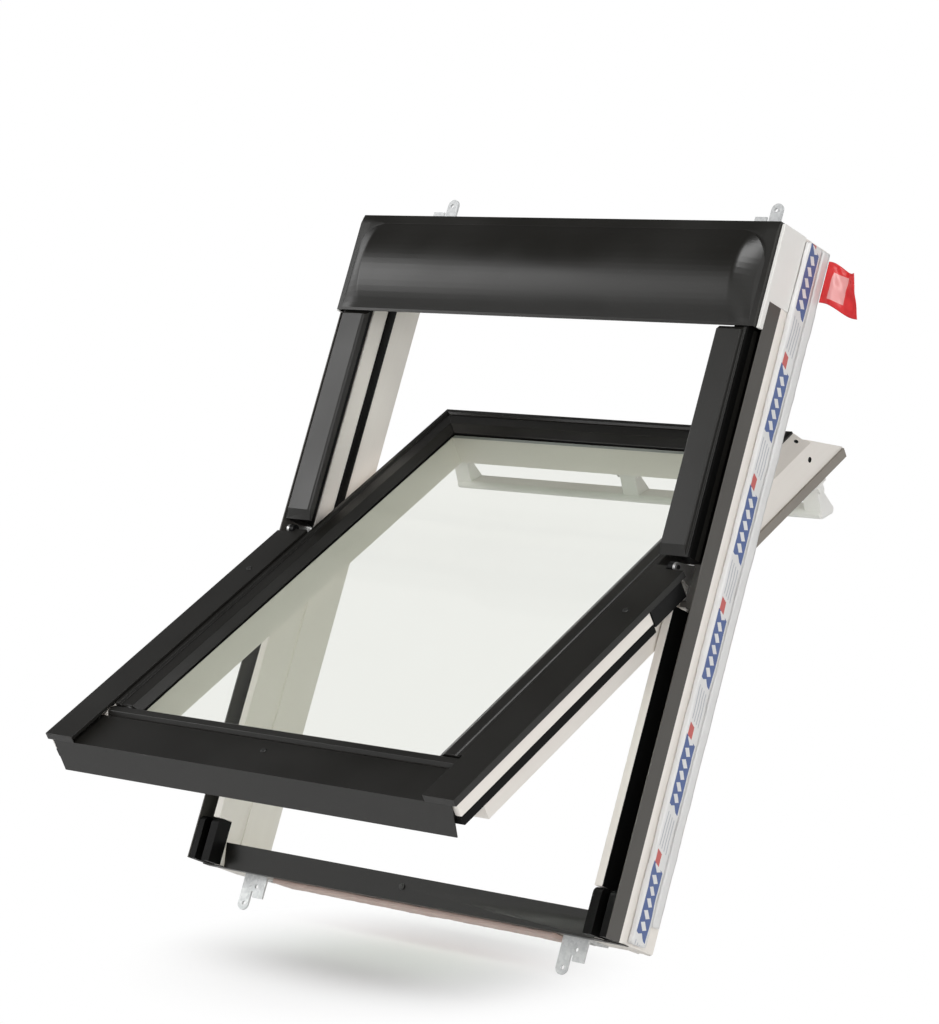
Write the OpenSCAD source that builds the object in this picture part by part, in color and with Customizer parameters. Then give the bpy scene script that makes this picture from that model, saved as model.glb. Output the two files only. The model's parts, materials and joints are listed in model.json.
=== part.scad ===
// Centre-pivot roof window: timber frame, clad sash that turns about its middle, hood, collar and brackets.
// Window coordinates: x across, y up the slope from the lower edge, z out of the roof from the cover plane.
// Sash coordinates: the same directions when shut, counted from the middle of the pivot axis.

/* [Window] */
// Width of the frame over its side cladding
frame_w = 780; // [600:1:1140]
// Height of the frame up the slope
frame_h = 980; // [860:1:1400]
// Depth from the cover plane to the room side of the frame
frame_depth = 132; // [124:1:160]
// Pitch of the roof that the window stands in
roof_pitch = 67; // [15:1:90]
// Opening angle of the sash
open_angle = 39; // [0:1:160]
// Height of the pivot above the middle of the frame
pivot_rise = 4.5; // [0:0.5:12]
// Depth of the pivot axis below the cover plane
pivot_drop = 2; // [1.6:0.1:2.2]

/* [Frame timber] */
// Thickness of a jamb with its side cladding
jamb_t = 42; // [38:1:60]
// Thickness of the sill
sill_t = 34; // [26:1:40]
// Thickness of the head
head_t = 76; // [70:1:90]
// Depth of the timber shoulder below the cover plane
shoulder = 38; // [36:1:44]
// Chamfer on the outer back edge
back_chamfer = 16; // [8:1:20]
// Width of the lining groove in the back
groove_w = 12; // [8:1:16]
// Depth of the lining groove
groove_d = 8; // [4:1:12]
// Width of the upstand on the lower half of a jamb
upstand_w = 13; // [10:0.5:13]
// Depth of the rain channel beside the upstand, below the cover plane
channel_drop = 44; // [43:0.5:46]

/* [Cladding] */
// Thickness of the cladding sheet
sheet_t = 1.5; // [1:0.1:2]
// Width of the side covers
cover_w = 53; // [46:1:56]
// Distance of a cover from the side of the frame
cover_inset = 14; // [12:1:18]
// Height of the gutter leg along the side of the frame
leg_h = 34; // [30:1:40]
// Depth of the gutter leg's top below the cover plane
leg_drop = 12; // [11:1:16]
// Thickness of the gutter leg
leg_t = 2; // [1.5:0.5:3]
// Gap between the pivot and the upper cover
cover_gap = 15; // [14.5:0.5:20]

/* [Hood] */
// Height of the hood up the slope
hood_h = 148; // [136:1:170]
// Rise of the hood's raised panel
hood_rise = 21; // [14:1:28]
// Radius of the raised panel's upper corners
hood_corner_r = 52; // [30:1:60]
// Thickness of the white end plates beside the hood
end_plate_t = 5.5; // [4:0.5:6]

/* [Sash] */
// Gap between the sash and the jambs
sash_gap = 4; // [3:0.5:6]
// Depth of the sash below the pivot axis
sash_depth = 83; // [76:1:90]
// Width of the stile timber
stile_w = 36; // [30:1:44]
// Height of the top rail timber
top_rail_h = 91; // [84:1:100]
// Height of the lower rail behind the pane
bottom_rail_h = 22; // [18:1:30]
// Gap that the lower rail needs to swing past the sill
swing_gap = 10.5; // [9:0.5:14]
// Reach of the sash past the lower edge of the frame
apron_reach = 20.5; // [14:0.5:26]
// Height of the drip apron
apron_h = 46; // [30:1:48]
// Width of the visible glazing cladding
glazing_clad_w = 70; // [60:1:80]
// Depth of the wing wall below the pivot axis
wing_h = 27; // [22:1:30]

/* [Glass] */
// Thickness of a pane
pane_t = 4; // [3:0.5:6]
// Gap between the panes
pane_gap = 16; // [12:1:18]
// Depth of the outer glass face below the pivot axis
glass_drop = 13.5; // [12:0.5:15]
// Bearing of the glass unit on the timber
glass_bearing = 10; // [6:1:14]

/* [Handle and lock] */
// Gap between the bar and the top rail
handle_reach = 46; // [38:1:60]
// Width of the bar
bar_w = 34; // [22:1:36]
// Thickness of the bar
bar_t = 13; // [10:1:16]
// Width of a handle arm
arm_w = 28; // [14:1:30]
// Radius of the handle pins
handle_pin_r = 2.5; // [2:0.1:3]
// Width of the latch bolt
bolt_w = 16; // [10:1:22]

/* [Hinges] */
// Radius of the pivot pin
pin_r = 3; // [2.5:0.1:3.5]
// Radius of the hinge eyes
eye_r = 6.5; // [5.5:0.1:7]

/* [Collar and brackets] */
// Thickness of the insulating collar
collar_t = 10; // [6:1:16]
// Height of the collar
collar_h = 51; // [40:1:56]
// Depth of the collar's outer edge below the cover plane
collar_drop = 55; // [52:1:60]
// Distance of a bracket's middle from the side of the frame
bracket_inset = 92; // [82:1:140]
// Sideways shift of the upper brackets
bracket_shift = 10; // [0:1:12]
// Width of a bracket
bracket_w = 44; // [36:1:52]
// Reach of a bracket's long leg past the frame
bracket_reach = 53; // [44:1:70]
// Thickness of the bracket plate
bracket_t = 3; // [2:0.5:4]
// Depth of the bracket seats below the cover plane
seat_drop = 68; // [64:1:76]
// Radius of the bracket fixing holes
fix_hole_r = 3; // [2.5:0.1:4]

/* [Hidden] */
$fn = 48;
eps = 0.5;
running_fit = 0.05;
screw_fit = 0.05;
seal_gap = 0.3;

// Frame lines
half_w = frame_w / 2;
side_x = half_w - leg_t;
jamb_x = half_w - jamb_t;
head_y = frame_h - head_t;
pivot_y = frame_h / 2 + pivot_rise;
back_z = -frame_depth;
shoulder_z = -shoulder;
gutter_z = shoulder_z + sheet_t;
cover_out = half_w - cover_inset;
cover_in = cover_out - cover_w;
upstand_x = jamb_x + upstand_w;
channel_z = -channel_drop;
gasket_t = 1.5;
cover_y = pivot_y + cover_gap;
hood_y = frame_h - hood_h;
hood_z = 0.5;
hood_t = 2;
hood_x = half_w - end_plate_t - 0.5;
cover_lap = 14;

// Frame seal lines
seal_w = 16;
seal_top = -66;
kerf_d = 2;
kerf_w = 8;
kerf_z = -65;

// Sash lines
sash_x = jamb_x - sash_gap;
top_y = head_y - seal_gap - sash_gap - pivot_y;
low_y = -(pivot_y - sill_t - swing_gap);
end_y = -(pivot_y + apron_reach);
back_m = -sash_depth;
inner_x = sash_x - stile_w;
pane_top_y = top_y - top_rail_h + glass_bearing;
pane_low_y = low_y + 10;
pane_x = inner_x + glass_bearing;
unit_low = -glass_drop - 2 * pane_t - pane_gap;
rebate_gap = 3;
clad_z = -glass_drop - eps;
clad_edge = cover_in - 1;
clad_top_y = top_y - 67;
glass_view_x = sash_x - glazing_clad_w;
clad_w = clad_edge - glass_view_x;
glass_view_top = clad_top_y - clad_w;
glass_view_low = low_y + 17;
bevel_z = -67;

// Wing, hinge and gutter lines on the lower half
wing_leg = 3;
wing_out = cover_out - sheet_t - eps;
wing_wall = 11;
wing_in = wing_out - wing_wall;
web_t = 8;
wing_start = 9;
hinge_room = 92;
hinge_pocket = 50;
sash_seal_h = channel_drop - pivot_drop - wing_h - 2.5;
upstand_y = [64, pivot_y - hinge_pocket];
channel_y = upstand_y[1] + 4;
leg_low = min(-leg_drop - leg_h, channel_z - sheet_t);
cover_top = pivot_drop;
notch_y = 8.5;
eye_plate = 3;
eye_hub = 5;
ear_t = 4;
eye_x = sash_x + wing_leg;
hub_x = eye_x + eye_plate;
ear_x = hub_x + eye_hub + 0.2;
pin_end = ear_x + ear_t + 1.5;

// Handle lines
handle_y = top_y - 72;
handle_m = back_m - 7;
bar_m = back_m - handle_reach - 2;
arm_x = [-(sash_x - 18), 0, sash_x - 18];
bar_tilt = 12;
eye_t = 4;
bolt_m = [-80, -70];
bolt_len = 28;
bolt_travel = 12;
lock_room = [30, 38, 8];
striker_w = 60;

// Screws and their places
pan_r = 4.5;
pan_h = 2;
shank_r = 2;
long_shank = 22;
short_shank = 6;
bracket_screw_x = 11;
bracket_screw_z = -seat_drop - 22;
cover_screw_x = cover_out - 28;
upper_screw_y = pivot_y + 90;
lower_screw_y = [-106];
sill_slope = 8;
sill_screw_y = sill_t * 0.55;
sill_screw_z = gutter_z - sill_slope * (1 - sill_screw_y / sill_t);
bottom_screw_y = low_y - 22;
apron_x = cover_out - 15;
lip_x = cover_out - 9;

// Bracket holes, counted from the middle of the bracket at the frame's edge
hole_far = [-bracket_w / 4 + 0.5, -bracket_reach + 10];
hole_near = [bracket_w / 8, -17];
bracket_x = half_w - bracket_inset;
collar_x = bracket_x - bracket_shift - bracket_w / 2 - 4;

// Places children given in window coordinates on the pitched roof, origin amid the bracket seats.
module on_frame() {
    rotate([roof_pitch, 0, 0])
        translate([0, -frame_h / 2, seat_drop])
            children();
}

// Places children given in sash coordinates, turned open about the pivot.
module on_sash() {
    on_frame()
        translate([0, pivot_y, -pivot_drop])
            rotate([-open_angle, 0, 0])
                children();
}

// Right-hand pieces are drawn at +x and mirrored for the left.
module side(s) {
    mirror([s < 0 ? 1 : 0, 0, 0]) children();
}

// Extrudes a (y, z) outline along x from x0 to x1.
module along_x(x0, x1) {
    translate([x0, 0, 0])
        rotate([90, 0, 90])
            linear_extrude(x1 - x0)
                children();
}

// Extrudes an (x, z) outline along y from y0 to y1.
module along_y(y0, y1) {
    translate([0, y1, 0])
        rotate([90, 0, 0])
            linear_extrude(y1 - y0)
                children();
}

// A box between two corners.
module block(low, high) {
    translate(low) cube(high - low);
}

// A countersunk-looking pan screw standing on a face, head towards +z.
module screw(head_r, head_h, shank_r, shank_l) {
    rotate_extrude()
        polygon([[0, -shank_l], [shank_r, -shank_l], [shank_r, 0], [head_r, 0],
            [head_r * 0.9, head_h * 0.7], [head_r * 0.6, head_h], [0, head_h]]);
}

module screw_hole(shank_r, shank_l) {
    translate([0, 0, -shank_l])
        cylinder(r = shank_r + screw_fit, h = shank_l + eps);
}

// Calls children at each bracket's place, drawn as for the lower edge.
module at_bracket(sx, top) {
    translate([sx * bracket_x + (top ? bracket_shift : 0), top ? frame_h : 0, 0])
        rotate([0, 0, top ? 180 : 0])
            children();
}

module bracket_screw_places() {
    for (dx = [-bracket_screw_x, bracket_screw_x])
        translate([dx, -bracket_t, bracket_screw_z])
            rotate([90, 0, 0])
                children();
}

module bracket_screw_holes() {
    for (sx = [-1, 1], top = [false, true])
        at_bracket(sx, top)
            bracket_screw_places()
                screw_hole(shank_r, long_shank);
}

// Frame timber

module jamb(s) {
    color("#e6e2da") on_frame() side(s)
        difference() {
            union() {
                along_y(0, frame_h)
                    polygon([[jamb_x, shoulder_z], [side_x, shoulder_z], [side_x, back_z + back_chamfer],
                        [side_x - back_chamfer, back_z], [jamb_x, back_z]]);
                block([jamb_x, upstand_y[0], shoulder_z - eps], [upstand_x, upstand_y[1], -leg_drop]);
            }
            block([upstand_x, -eps, channel_z - sheet_t], [side_x + eps, channel_y + sheet_t, 0]);
            block([jamb_x - eps, -eps, kerf_z - kerf_w / 2], [jamb_x + kerf_d, pivot_y, kerf_z + kerf_w / 2]);
            block([jamb_x + groove_w / 2, -eps, back_z - eps],
                [jamb_x + groove_w * 1.5, frame_h + eps, back_z + groove_d]);
        }
}
module jamb_left() jamb(-1);
module jamb_right() jamb(1);

module frame_head() {
    color("#e6e2da") on_frame()
        difference() {
            along_x(-jamb_x, jamb_x)
                polygon([[frame_h, shoulder_z], [frame_h, back_z + back_chamfer],
                    [frame_h - back_chamfer, back_z], [head_y, back_z], [head_y, bevel_z - pivot_drop],
                    [head_y - 32, shoulder_z]]);
            block([-jamb_x - eps, head_y + groove_w / 2, back_z - eps],
                [jamb_x + eps, head_y + groove_w * 1.5, back_z + groove_d]);
            block([-bolt_w / 2 - 2, head_y - eps, bolt_m[0] - pivot_drop - 2],
                [bolt_w / 2 + 2, head_y + bolt_travel, bolt_m[1] - pivot_drop + 2]);
            bracket_screw_holes();
            hood_screw_places() screw_hole(shank_r, long_shank);
        }
}

module frame_sill() {
    color("#e6e2da") on_frame()
        difference() {
            along_x(-jamb_x, jamb_x)
                polygon([[0, shoulder_z - sill_slope], [sill_t, shoulder_z], [sill_t, back_z],
                    [back_chamfer, back_z], [0, back_z + back_chamfer]]);
            block([-jamb_x - eps, sill_t - groove_w, back_z - eps],
                [jamb_x + eps, sill_t - groove_w / 3, back_z + groove_d]);
            bracket_screw_holes();
        }
}

// Outer cladding of the frame

// The raised panel of the hood, shrunk by inset for the inside of the sheet.
module hood_panel(inset) {
    panel_low = hood_y + 4;
    panel_high = frame_h - 12;
    span = panel_high - panel_low;
    r = (span * span / 4 + hood_rise * hood_rise) / (2 * hood_rise);
    end_x = hood_x - 8;
    slope = 6;
    floor_z = hood_z - (inset > 0 ? eps : 0);
    intersection() {
        translate([-half_w, (panel_low + panel_high) / 2, hood_z + hood_t + hood_rise - r])
            rotate([0, 90, 0])
                cylinder(r = r - inset, h = frame_w, $fn = 160);
        along_y(hood_y, frame_h)
            polygon([[-end_x + inset, floor_z], [end_x - inset, floor_z],
                [end_x - slope - inset, hood_rise + 2 * hood_t],
                [-end_x + slope + inset, hood_rise + 2 * hood_t]]);
        translate([0, 0, floor_z])
            linear_extrude(hood_rise + 2 * hood_t) {
                x1 = end_x - inset;
                y1 = panel_high - inset;
                translate([-x1, panel_low + inset])
                    square([2 * x1, y1 - hood_corner_r - panel_low - inset]);
                translate([-x1 + hood_corner_r, panel_low + inset])
                    square([2 * (x1 - hood_corner_r), y1 - panel_low - inset]);
                for (sx = [-1, 1])
                    translate([sx * (x1 - hood_corner_r), y1 - hood_corner_r])
                        circle(hood_corner_r);
            }
    }
}

// Places along the hood's upper skirt for its fixing screws.
module hood_screw_places() {
    for (x = [-0.62, 0, 0.62])
        translate([x * half_w, frame_h + hood_t, shoulder_z - 9])
            rotate([-90, 0, 0])
                children();
}

module hood() {
    skirt_h = shoulder + 18;
    end_h = 13;
    color("#3b3b38") on_frame()
        difference() {
            union() {
                block([-hood_x, hood_y, hood_z], [hood_x, frame_h + hood_t, hood_z + hood_t]);
                block([-hood_x, frame_h, hood_z - skirt_h], [hood_x, frame_h + hood_t, hood_z + eps]);
                for (sx = [-1, 1])
                    side(sx)
                        block([hood_x - hood_t, hood_y, hood_z - end_h],
                            [hood_x, frame_h + eps, hood_z + eps]);
                hood_panel(0);
            }
            hood_panel(hood_t);
            hood_screw_places() screw_hole(shank_r, long_shank);
        }
}

// White plate that closes the end of the hood, over the side of the frame.
module hood_end(s) {
    plate_low = hood_y + 40;
    color("#ece9e2") on_frame() side(s) {
        block([half_w - end_plate_t, plate_low, gutter_z], [half_w, frame_h, -4]);
        block([half_w - end_plate_t, hood_y, -leg_drop], [half_w, plate_low + eps, -4]);
        block([side_x, plate_low, -collar_drop], [half_w, frame_h, gutter_z + eps]);
    }
}
module hood_end_left() hood_end(-1);
module hood_end_right() hood_end(1);

// Folded cover profile: flat top, short inner fold, deeper outer skirt. top_z is the outer face.
module cover_profile(top_z, skirt) {
    fold = 5;
    polygon([[cover_in, top_z], [cover_out, top_z], [cover_out, top_z - skirt],
        [cover_out - sheet_t, top_z - skirt], [cover_out - sheet_t, top_z - sheet_t],
        [cover_in + sheet_t, top_z - sheet_t], [cover_in + sheet_t, top_z - fold], [cover_in, top_z - fold]]);
}

module upper_cover(s) {
    color("#4a4a46") on_frame() side(s)
        difference() {
            along_y(cover_y, hood_y + cover_lap) cover_profile(0, 22);
            translate([cover_screw_x, upper_screw_y, 0]) screw_hole(shank_r, short_shank);
        }
}
module upper_cover_left() upper_cover(-1);
module upper_cover_right() upper_cover(1);

// Packer that carries the upper cover on the jamb.
module cover_carrier(s) {
    color("#1c1c1b") on_frame() side(s)
        difference() {
            along_y(cover_y, frame_h)
                polygon([[jamb_x + 2, gutter_z], [cover_out - sheet_t - eps, gutter_z],
                    [cover_out - sheet_t - eps, -sheet_t], [jamb_x + 2, -sheet_t]]);
            translate([cover_screw_x, upper_screw_y, 0]) screw_hole(shank_r, short_shank);
        }
}
module cover_carrier_left() cover_carrier(-1);
module cover_carrier_right() cover_carrier(1);

// Side cladding with its upstanding leg, which makes the rain gutter.
module gutter(s) {
    plate_in = jamb_x + 2;
    color("#55534f") on_frame() side(s) {
        block([side_x, 0, leg_low], [half_w, hood_y + 40, -leg_drop]);
        block([upstand_x, 0, channel_z - sheet_t], [side_x, channel_y + sheet_t, channel_z]);
        block([upstand_x, channel_y, channel_z - eps], [side_x, channel_y + sheet_t, gutter_z]);
        block([plate_in, channel_y + sheet_t, shoulder_z], [side_x, frame_h, gutter_z]);
    }
}
module gutter_left() gutter(-1);
module gutter_right() gutter(1);

module sill_cladding() {
    drop = 14;
    color("#474743") on_frame()
        difference() {
            union() {
                along_x(-jamb_x + 2, jamb_x - 2)
                    polygon([[0, shoulder_z - sill_slope], [sill_t, shoulder_z], [sill_t, gutter_z],
                        [-sheet_t, gutter_z - sill_slope - sheet_t * sill_slope / sill_t],
                        [-sheet_t, shoulder_z - sill_slope - drop], [0, shoulder_z - sill_slope - drop]]);
                for (s = [-1, 1])
                    side(s) {
                        block([jamb_x - 4, -sheet_t, shoulder_z - sill_slope - drop],
                            [half_w, 0, channel_z - sheet_t]);
                        block([jamb_x - 4, -sheet_t, channel_z - 2 * sheet_t], [upstand_x, 0, shoulder_z]);
                    }
            }
            translate([0, sill_screw_y, sill_screw_z]) screw_hole(shank_r, sheet_t * 2);
        }
}

// Rubber block in the lower corner: it fills the upstand's place and stands on both sides of the wing wall.
module corner_block(s) {
    y0 = eps;
    y1 = upstand_y[0] - eps;
    r = 9;
    top = -leg_drop - 1;
    inner_end = upstand_x + gasket_t;
    color("#161616") on_frame() side(s) {
        for (part = [[jamb_x, upstand_x, shoulder_z], [upstand_x, inner_end, channel_z],
                [cover_out + 0.5, side_x - 1, channel_z]])
            along_x(part[0], part[1]) {
                polygon([[y0, part[2]], [y1, part[2]], [y1, top - r], [y1 - r, top], [y0, top]]);
                translate([y1 - r, top - r]) circle(r);
            }
        block([upstand_x, y0, channel_z], [side_x - 1, y1, channel_z + 1.8]);
    }
}
module corner_block_left() corner_block(-1);
module corner_block_right() corner_block(1);

// Weather seals: a lip on the inner side of the upper half, a gasket along the upstand of the lower half
module frame_seal_side(s) {
    color("#141414") on_frame() side(s)
        along_y(cover_y, head_y - sash_gap) {
            lip = sash_gap - seal_gap;
            polygon([[jamb_x, seal_top], [jamb_x - lip * 0.6, seal_top],
                [jamb_x - lip, seal_top - seal_w * 0.3], [jamb_x - lip, seal_top - seal_w * 0.7],
                [jamb_x - lip * 0.6, seal_top - seal_w], [jamb_x, seal_top - seal_w]]);
        }
    color("#141414") on_frame() side(s)
        block([upstand_x, upstand_y[0], channel_z], [upstand_x + gasket_t, upstand_y[1], -leg_drop]);
}
module frame_seal_left() frame_seal_side(-1);
module frame_seal_right() frame_seal_side(1);

module frame_seal_head() {
    color("#141414") on_frame()
        for (s = [-1, 1])
            side(s)
                block([striker_w / 2 + 2, head_y - sash_gap, seal_top - seal_w],
                    [jamb_x, head_y, bevel_z - pivot_drop]);
}

// Insulating collar round the frame
module collar_side(s) {
    layer = 33;
    color("#eceae6") on_frame() side(s) {
        block([side_x, 3, -collar_drop - layer], [side_x + collar_t, frame_h - 4, -collar_drop]);
        block([side_x, 32, -collar_drop - collar_h], [side_x + collar_t, frame_h - 4, -collar_drop - layer]);
    }
}
module collar_left() collar_side(-1);
module collar_right() collar_side(1);

module collar_end(y0) {
    color("#eceae6") on_frame()
        block([-collar_x, y0, -collar_drop - collar_h], [collar_x, y0 + collar_t - 2, -collar_drop - 5]);
}
module collar_head() collar_end(frame_h);
module collar_sill() collar_end(2 - collar_t);

// Film pull tag on the collar's upper end, a waved strip.
module pull_tag() {
    tag_t = 0.8;
    tag_h = 76;
    tag_w = 68;
    wave = tag_w / 2;
    r = wave * 0.9;
    root = [side_x + collar_t, -collar_drop - collar_h + 2];
    half_angle = asin(wave / 2 / r);
    lift = r * cos(half_angle);
    color("#d8252b") on_frame()
        along_y(frame_h - 92, frame_h - 92 + tag_h)
            translate(root) {
                difference() {
                    translate([wave / 2, -lift]) circle(r + tag_t, $fn = 96);
                    translate([wave / 2, -lift]) circle(r, $fn = 96);
                    translate([-2 * r, -3 * r]) square([2 * r, 6 * r]);
                    translate([wave, -3 * r]) square([3 * r, 6 * r]);
                    translate([-r, -3 * r]) square([4 * r, 3 * r]);
                }
                difference() {
                    translate([wave * 1.5, lift]) circle(r, $fn = 96);
                    translate([wave * 1.5, lift]) circle(r - tag_t, $fn = 96);
                    translate([wave - 3 * r, -3 * r]) square([3 * r, 6 * r]);
                    translate([2 * wave, -3 * r]) square([2 * r, 6 * r]);
                    translate([0, tag_t]) square([4 * r, 4 * r]);
                }
            }
}

// Fixing bracket: vertical leg on the frame, plate parallel to the roof with a long and a short leg.
module bracket(sx, top) {
    base = 25;
    leg_w = bracket_w / 2 - 2;
    short_reach = 33;
    leg_drop_z = 40;
    seat_z = -seat_drop;
    color("#c9ccce") on_frame() at_bracket(sx, top)
        difference() {
            union() {
                block([-bracket_w / 2, -bracket_t, seat_z - leg_drop_z],
                    [bracket_w / 2, 0, seat_z + bracket_t]);
                translate([0, 0, seat_z])
                    linear_extrude(bracket_t) {
                        translate([-bracket_w / 2, -base]) square([bracket_w, base]);
                        translate([-bracket_w / 2, -bracket_reach + leg_w / 2])
                            square([leg_w, bracket_reach - leg_w / 2 - base + eps]);
                        translate([-bracket_w / 2 + leg_w / 2, -bracket_reach + leg_w / 2]) circle(leg_w / 2);
                        translate([bracket_w / 2 - leg_w, -short_reach])
                            square([leg_w, short_reach - base + eps]);
                    }
            }
            for (h = [hole_far, hole_near])
                translate([h[0], h[1], seat_z - eps])
                    cylinder(r = fix_hole_r, h = bracket_t + 2 * eps);
            bracket_screw_places()
                translate([0, 0, -bracket_t - eps])
                    cylinder(r = shank_r + screw_fit, h = bracket_t + 2 * eps);
        }
}
module bracket_top_left() bracket(-1, true);
module bracket_top_right() bracket(1, true);
module bracket_bottom_left() bracket(-1, false);
module bracket_bottom_right() bracket(1, false);

module bracket_screws() {
    color("#b8bbbd") on_frame()
        for (sx = [-1, 1], top = [false, true])
            at_bracket(sx, top)
                bracket_screw_places()
                    screw(pan_r, pan_h, shank_r, long_shank - 1);
}

// Screws of the frame covers, sill cladding and hood.
module frame_screws() {
    color("#2a2a28") on_frame() {
        for (s = [-1, 1])
            translate([s * cover_screw_x, upper_screw_y, 0]) screw(pan_r, 1.2, shank_r, short_shank - 1);
        translate([0, sill_screw_y, sill_screw_z + 1.2]) screw(pan_r, 1.2, shank_r, sheet_t);
        hood_screw_places() screw(pan_r, pan_h, shank_r, long_shank - 1);
    }
}

// Hinge ear on the frame, with the bore of the pivot.
module hinge_ear(s) {
    foot_t = 3;
    foot_z = gutter_z + pivot_drop;
    foot_back = -36;
    color("#d4d6d6") on_frame() translate([0, pivot_y, -pivot_drop]) side(s)
        difference() {
            union() {
                block([eye_x + 1, foot_back, foot_z], [ear_x + ear_t, cover_gap - 2, foot_z + foot_t]);
                along_x(ear_x, ear_x + ear_t) {
                    circle(eye_r);
                    polygon([[foot_back / 2, foot_z], [cover_gap - 3, foot_z], [eye_r, 0], [-eye_r, 0]]);
                }
            }
            translate([ear_x - eps, 0, 0])
                rotate([0, 90, 0])
                    cylinder(r = pin_r + running_fit, h = ear_t + 2 * eps);
        }
}
module hinge_ear_left() hinge_ear(-1);
module hinge_ear_right() hinge_ear(1);

module striker_plate() {
    plate_t = 1.5;
    slot_gap = 1;
    low = seal_top - seal_w;
    color("#c2c5c6") on_frame()
        difference() {
            block([-striker_w / 2, head_y - plate_t, low - 6], [striker_w / 2, head_y, bevel_z - pivot_drop]);
            block([-bolt_w / 2 - slot_gap, head_y - plate_t - eps, bolt_m[0] - pivot_drop - slot_gap],
                [bolt_w / 2 + slot_gap, head_y + eps, bolt_m[1] - pivot_drop + slot_gap]);
        }
}

// Sash timber

// Bevelled upper end of the sash, as a (y, z) outline to cut with.
module top_bevel() {
    polygon([[clad_top_y, -glass_drop - eps], [clad_top_y, 60], [top_y + 60, 60], [top_y + 60, bevel_z],
        [top_y, bevel_z]]);
}

// The lower step along a stile's side on the upper half; the raised land ends round at the top.
module side_step(low) {
    land_low = -52;
    land_r = 25;
    land_y = clad_top_y - 20;
    difference() {
        translate([0, low]) square([top_y + eps, -low]);
        translate([-eps, land_low]) square([land_y + eps, -land_low + eps]);
        translate([land_y, land_low + land_r]) circle(land_r);
        translate([land_y - eps, land_low + land_r]) square([clad_top_y - land_y + 2 * eps, -land_low]);
    }
}

module stile(s) {
    strip_w = 6;
    strip_h = 14;
    step = 3;
    crest = [-21, -4.5];
    slope = atan2(sash_x - clad_edge - eps, crest[1] - crest[0]);
    bore_r = 4;
    bore_d = 9;
    color("#e8e4dc") on_sash() side(s)
        difference() {
            along_y(low_y, top_y)
                polygon([[inner_x, back_m], [sash_x, back_m], [sash_x, crest[0]], [clad_edge + eps, crest[1]],
                    [clad_edge + eps, clad_z], [pane_x + rebate_gap, clad_z],
                    [pane_x + rebate_gap, unit_low - 1], [inner_x, unit_low - 1]]);
            along_x(inner_x - eps, sash_x + eps) top_bevel();
            block([sash_x - strip_w, 0, back_m - eps], [sash_x + eps, top_y + eps, back_m + strip_h]);
            along_x(sash_x - step, sash_x + eps) side_step(back_m + strip_h - eps);
            translate([sash_x, clad_top_y - 9, -41])
                rotate([0, 90, 0])
                    cylinder(r = bore_r, h = 2 * bore_d, center = true);
            translate([clad_edge + 9.5, clad_top_y - 10, crest[1] - 6.9])
                rotate([0, 90 - slope, 0])
                    cylinder(r = bore_r * 0.8, h = 2 * bore_d, center = true);
            arm_holes();
        }
}
module stile_left() stile(-1);
module stile_right() stile(1);

// Grey strip along the back edge that the frame's seal bears on.
module edge_strip(s) {
    strip_w = 6;
    strip_h = 14;
    color("#8d857a") on_sash() side(s)
        block([sash_x - strip_w, 0, back_m], [sash_x, top_y, back_m + strip_h]);
}
module edge_strip_left() edge_strip(-1);
module edge_strip_right() edge_strip(1);

module top_rail() {
    rail_low = top_y - top_rail_h;
    color("#e8e4dc") on_sash()
        difference() {
            along_x(-inner_x, inner_x)
                polygon([[rail_low, back_m], [top_y, back_m], [top_y, bevel_z], [clad_top_y, clad_z],
                    [pane_top_y + rebate_gap, clad_z], [pane_top_y + rebate_gap, unit_low - 1],
                    [rail_low, unit_low - 1]]);
            block([-lock_room[0], top_y - 2 - lock_room[1], bolt_m[0] - 1.5],
                [lock_room[0], top_y - 2, bolt_m[1] + lock_room[2]]);
            block([-bolt_w / 2 - 0.4, top_y - 2 - eps, bolt_m[0] - 0.4],
                [bolt_w / 2 + 0.4, top_y + eps, bolt_m[1] + 0.4]);
        }
}

module bottom_rail() {
    rail_in = low_y + bottom_rail_h;
    color("#e8e4dc") on_sash() {
        along_x(-inner_x, inner_x)
            polygon([[low_y, back_m], [rail_in, back_m], [rail_in, unit_low - 1],
                [pane_low_y - rebate_gap, unit_low - 1], [pane_low_y - rebate_gap, clad_z],
                [low_y, clad_z]]);
        block([-sash_x, end_y, -wing_h], [sash_x, low_y, -10]);
    }
}

// Wing on the lower half: reaches over the gutter and carries the seal and the side cover.
module wing(s) {
    color("#e8e4dc") on_sash() side(s)
        difference() {
            along_y(end_y, -wing_start)
                polygon([[sash_x, 0], [wing_out, 0], [wing_out, -wing_h], [wing_in, -wing_h],
                    [wing_in, -web_t], [sash_x + wing_leg, -web_t], [sash_x + wing_leg, -wing_h],
                    [sash_x, -wing_h]]);
            block([wing_in - 4, -hinge_room, -wing_h - eps], [wing_out + eps, 0, -web_t]);
            block([ear_x - 3, -notch_y - 4, -web_t - eps], [wing_out + eps, 0, eps]);
            arm_holes();
            for (y = lower_screw_y)
                translate([cover_screw_x, y, 0]) screw_hole(shank_r, short_shank);
        }
}
module wing_left() wing(-1);
module wing_right() wing(1);

// Glass unit
module pane(top_m) {
    block([-pane_x, pane_low_y, top_m - pane_t], [pane_x, pane_top_y, top_m]);
}
module outer_pane() color("#c9d6cf", 0.35) on_sash() pane(-glass_drop);
module inner_pane() color("#c9d6cf", 0.35) on_sash() pane(-glass_drop - pane_t - pane_gap);

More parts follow.
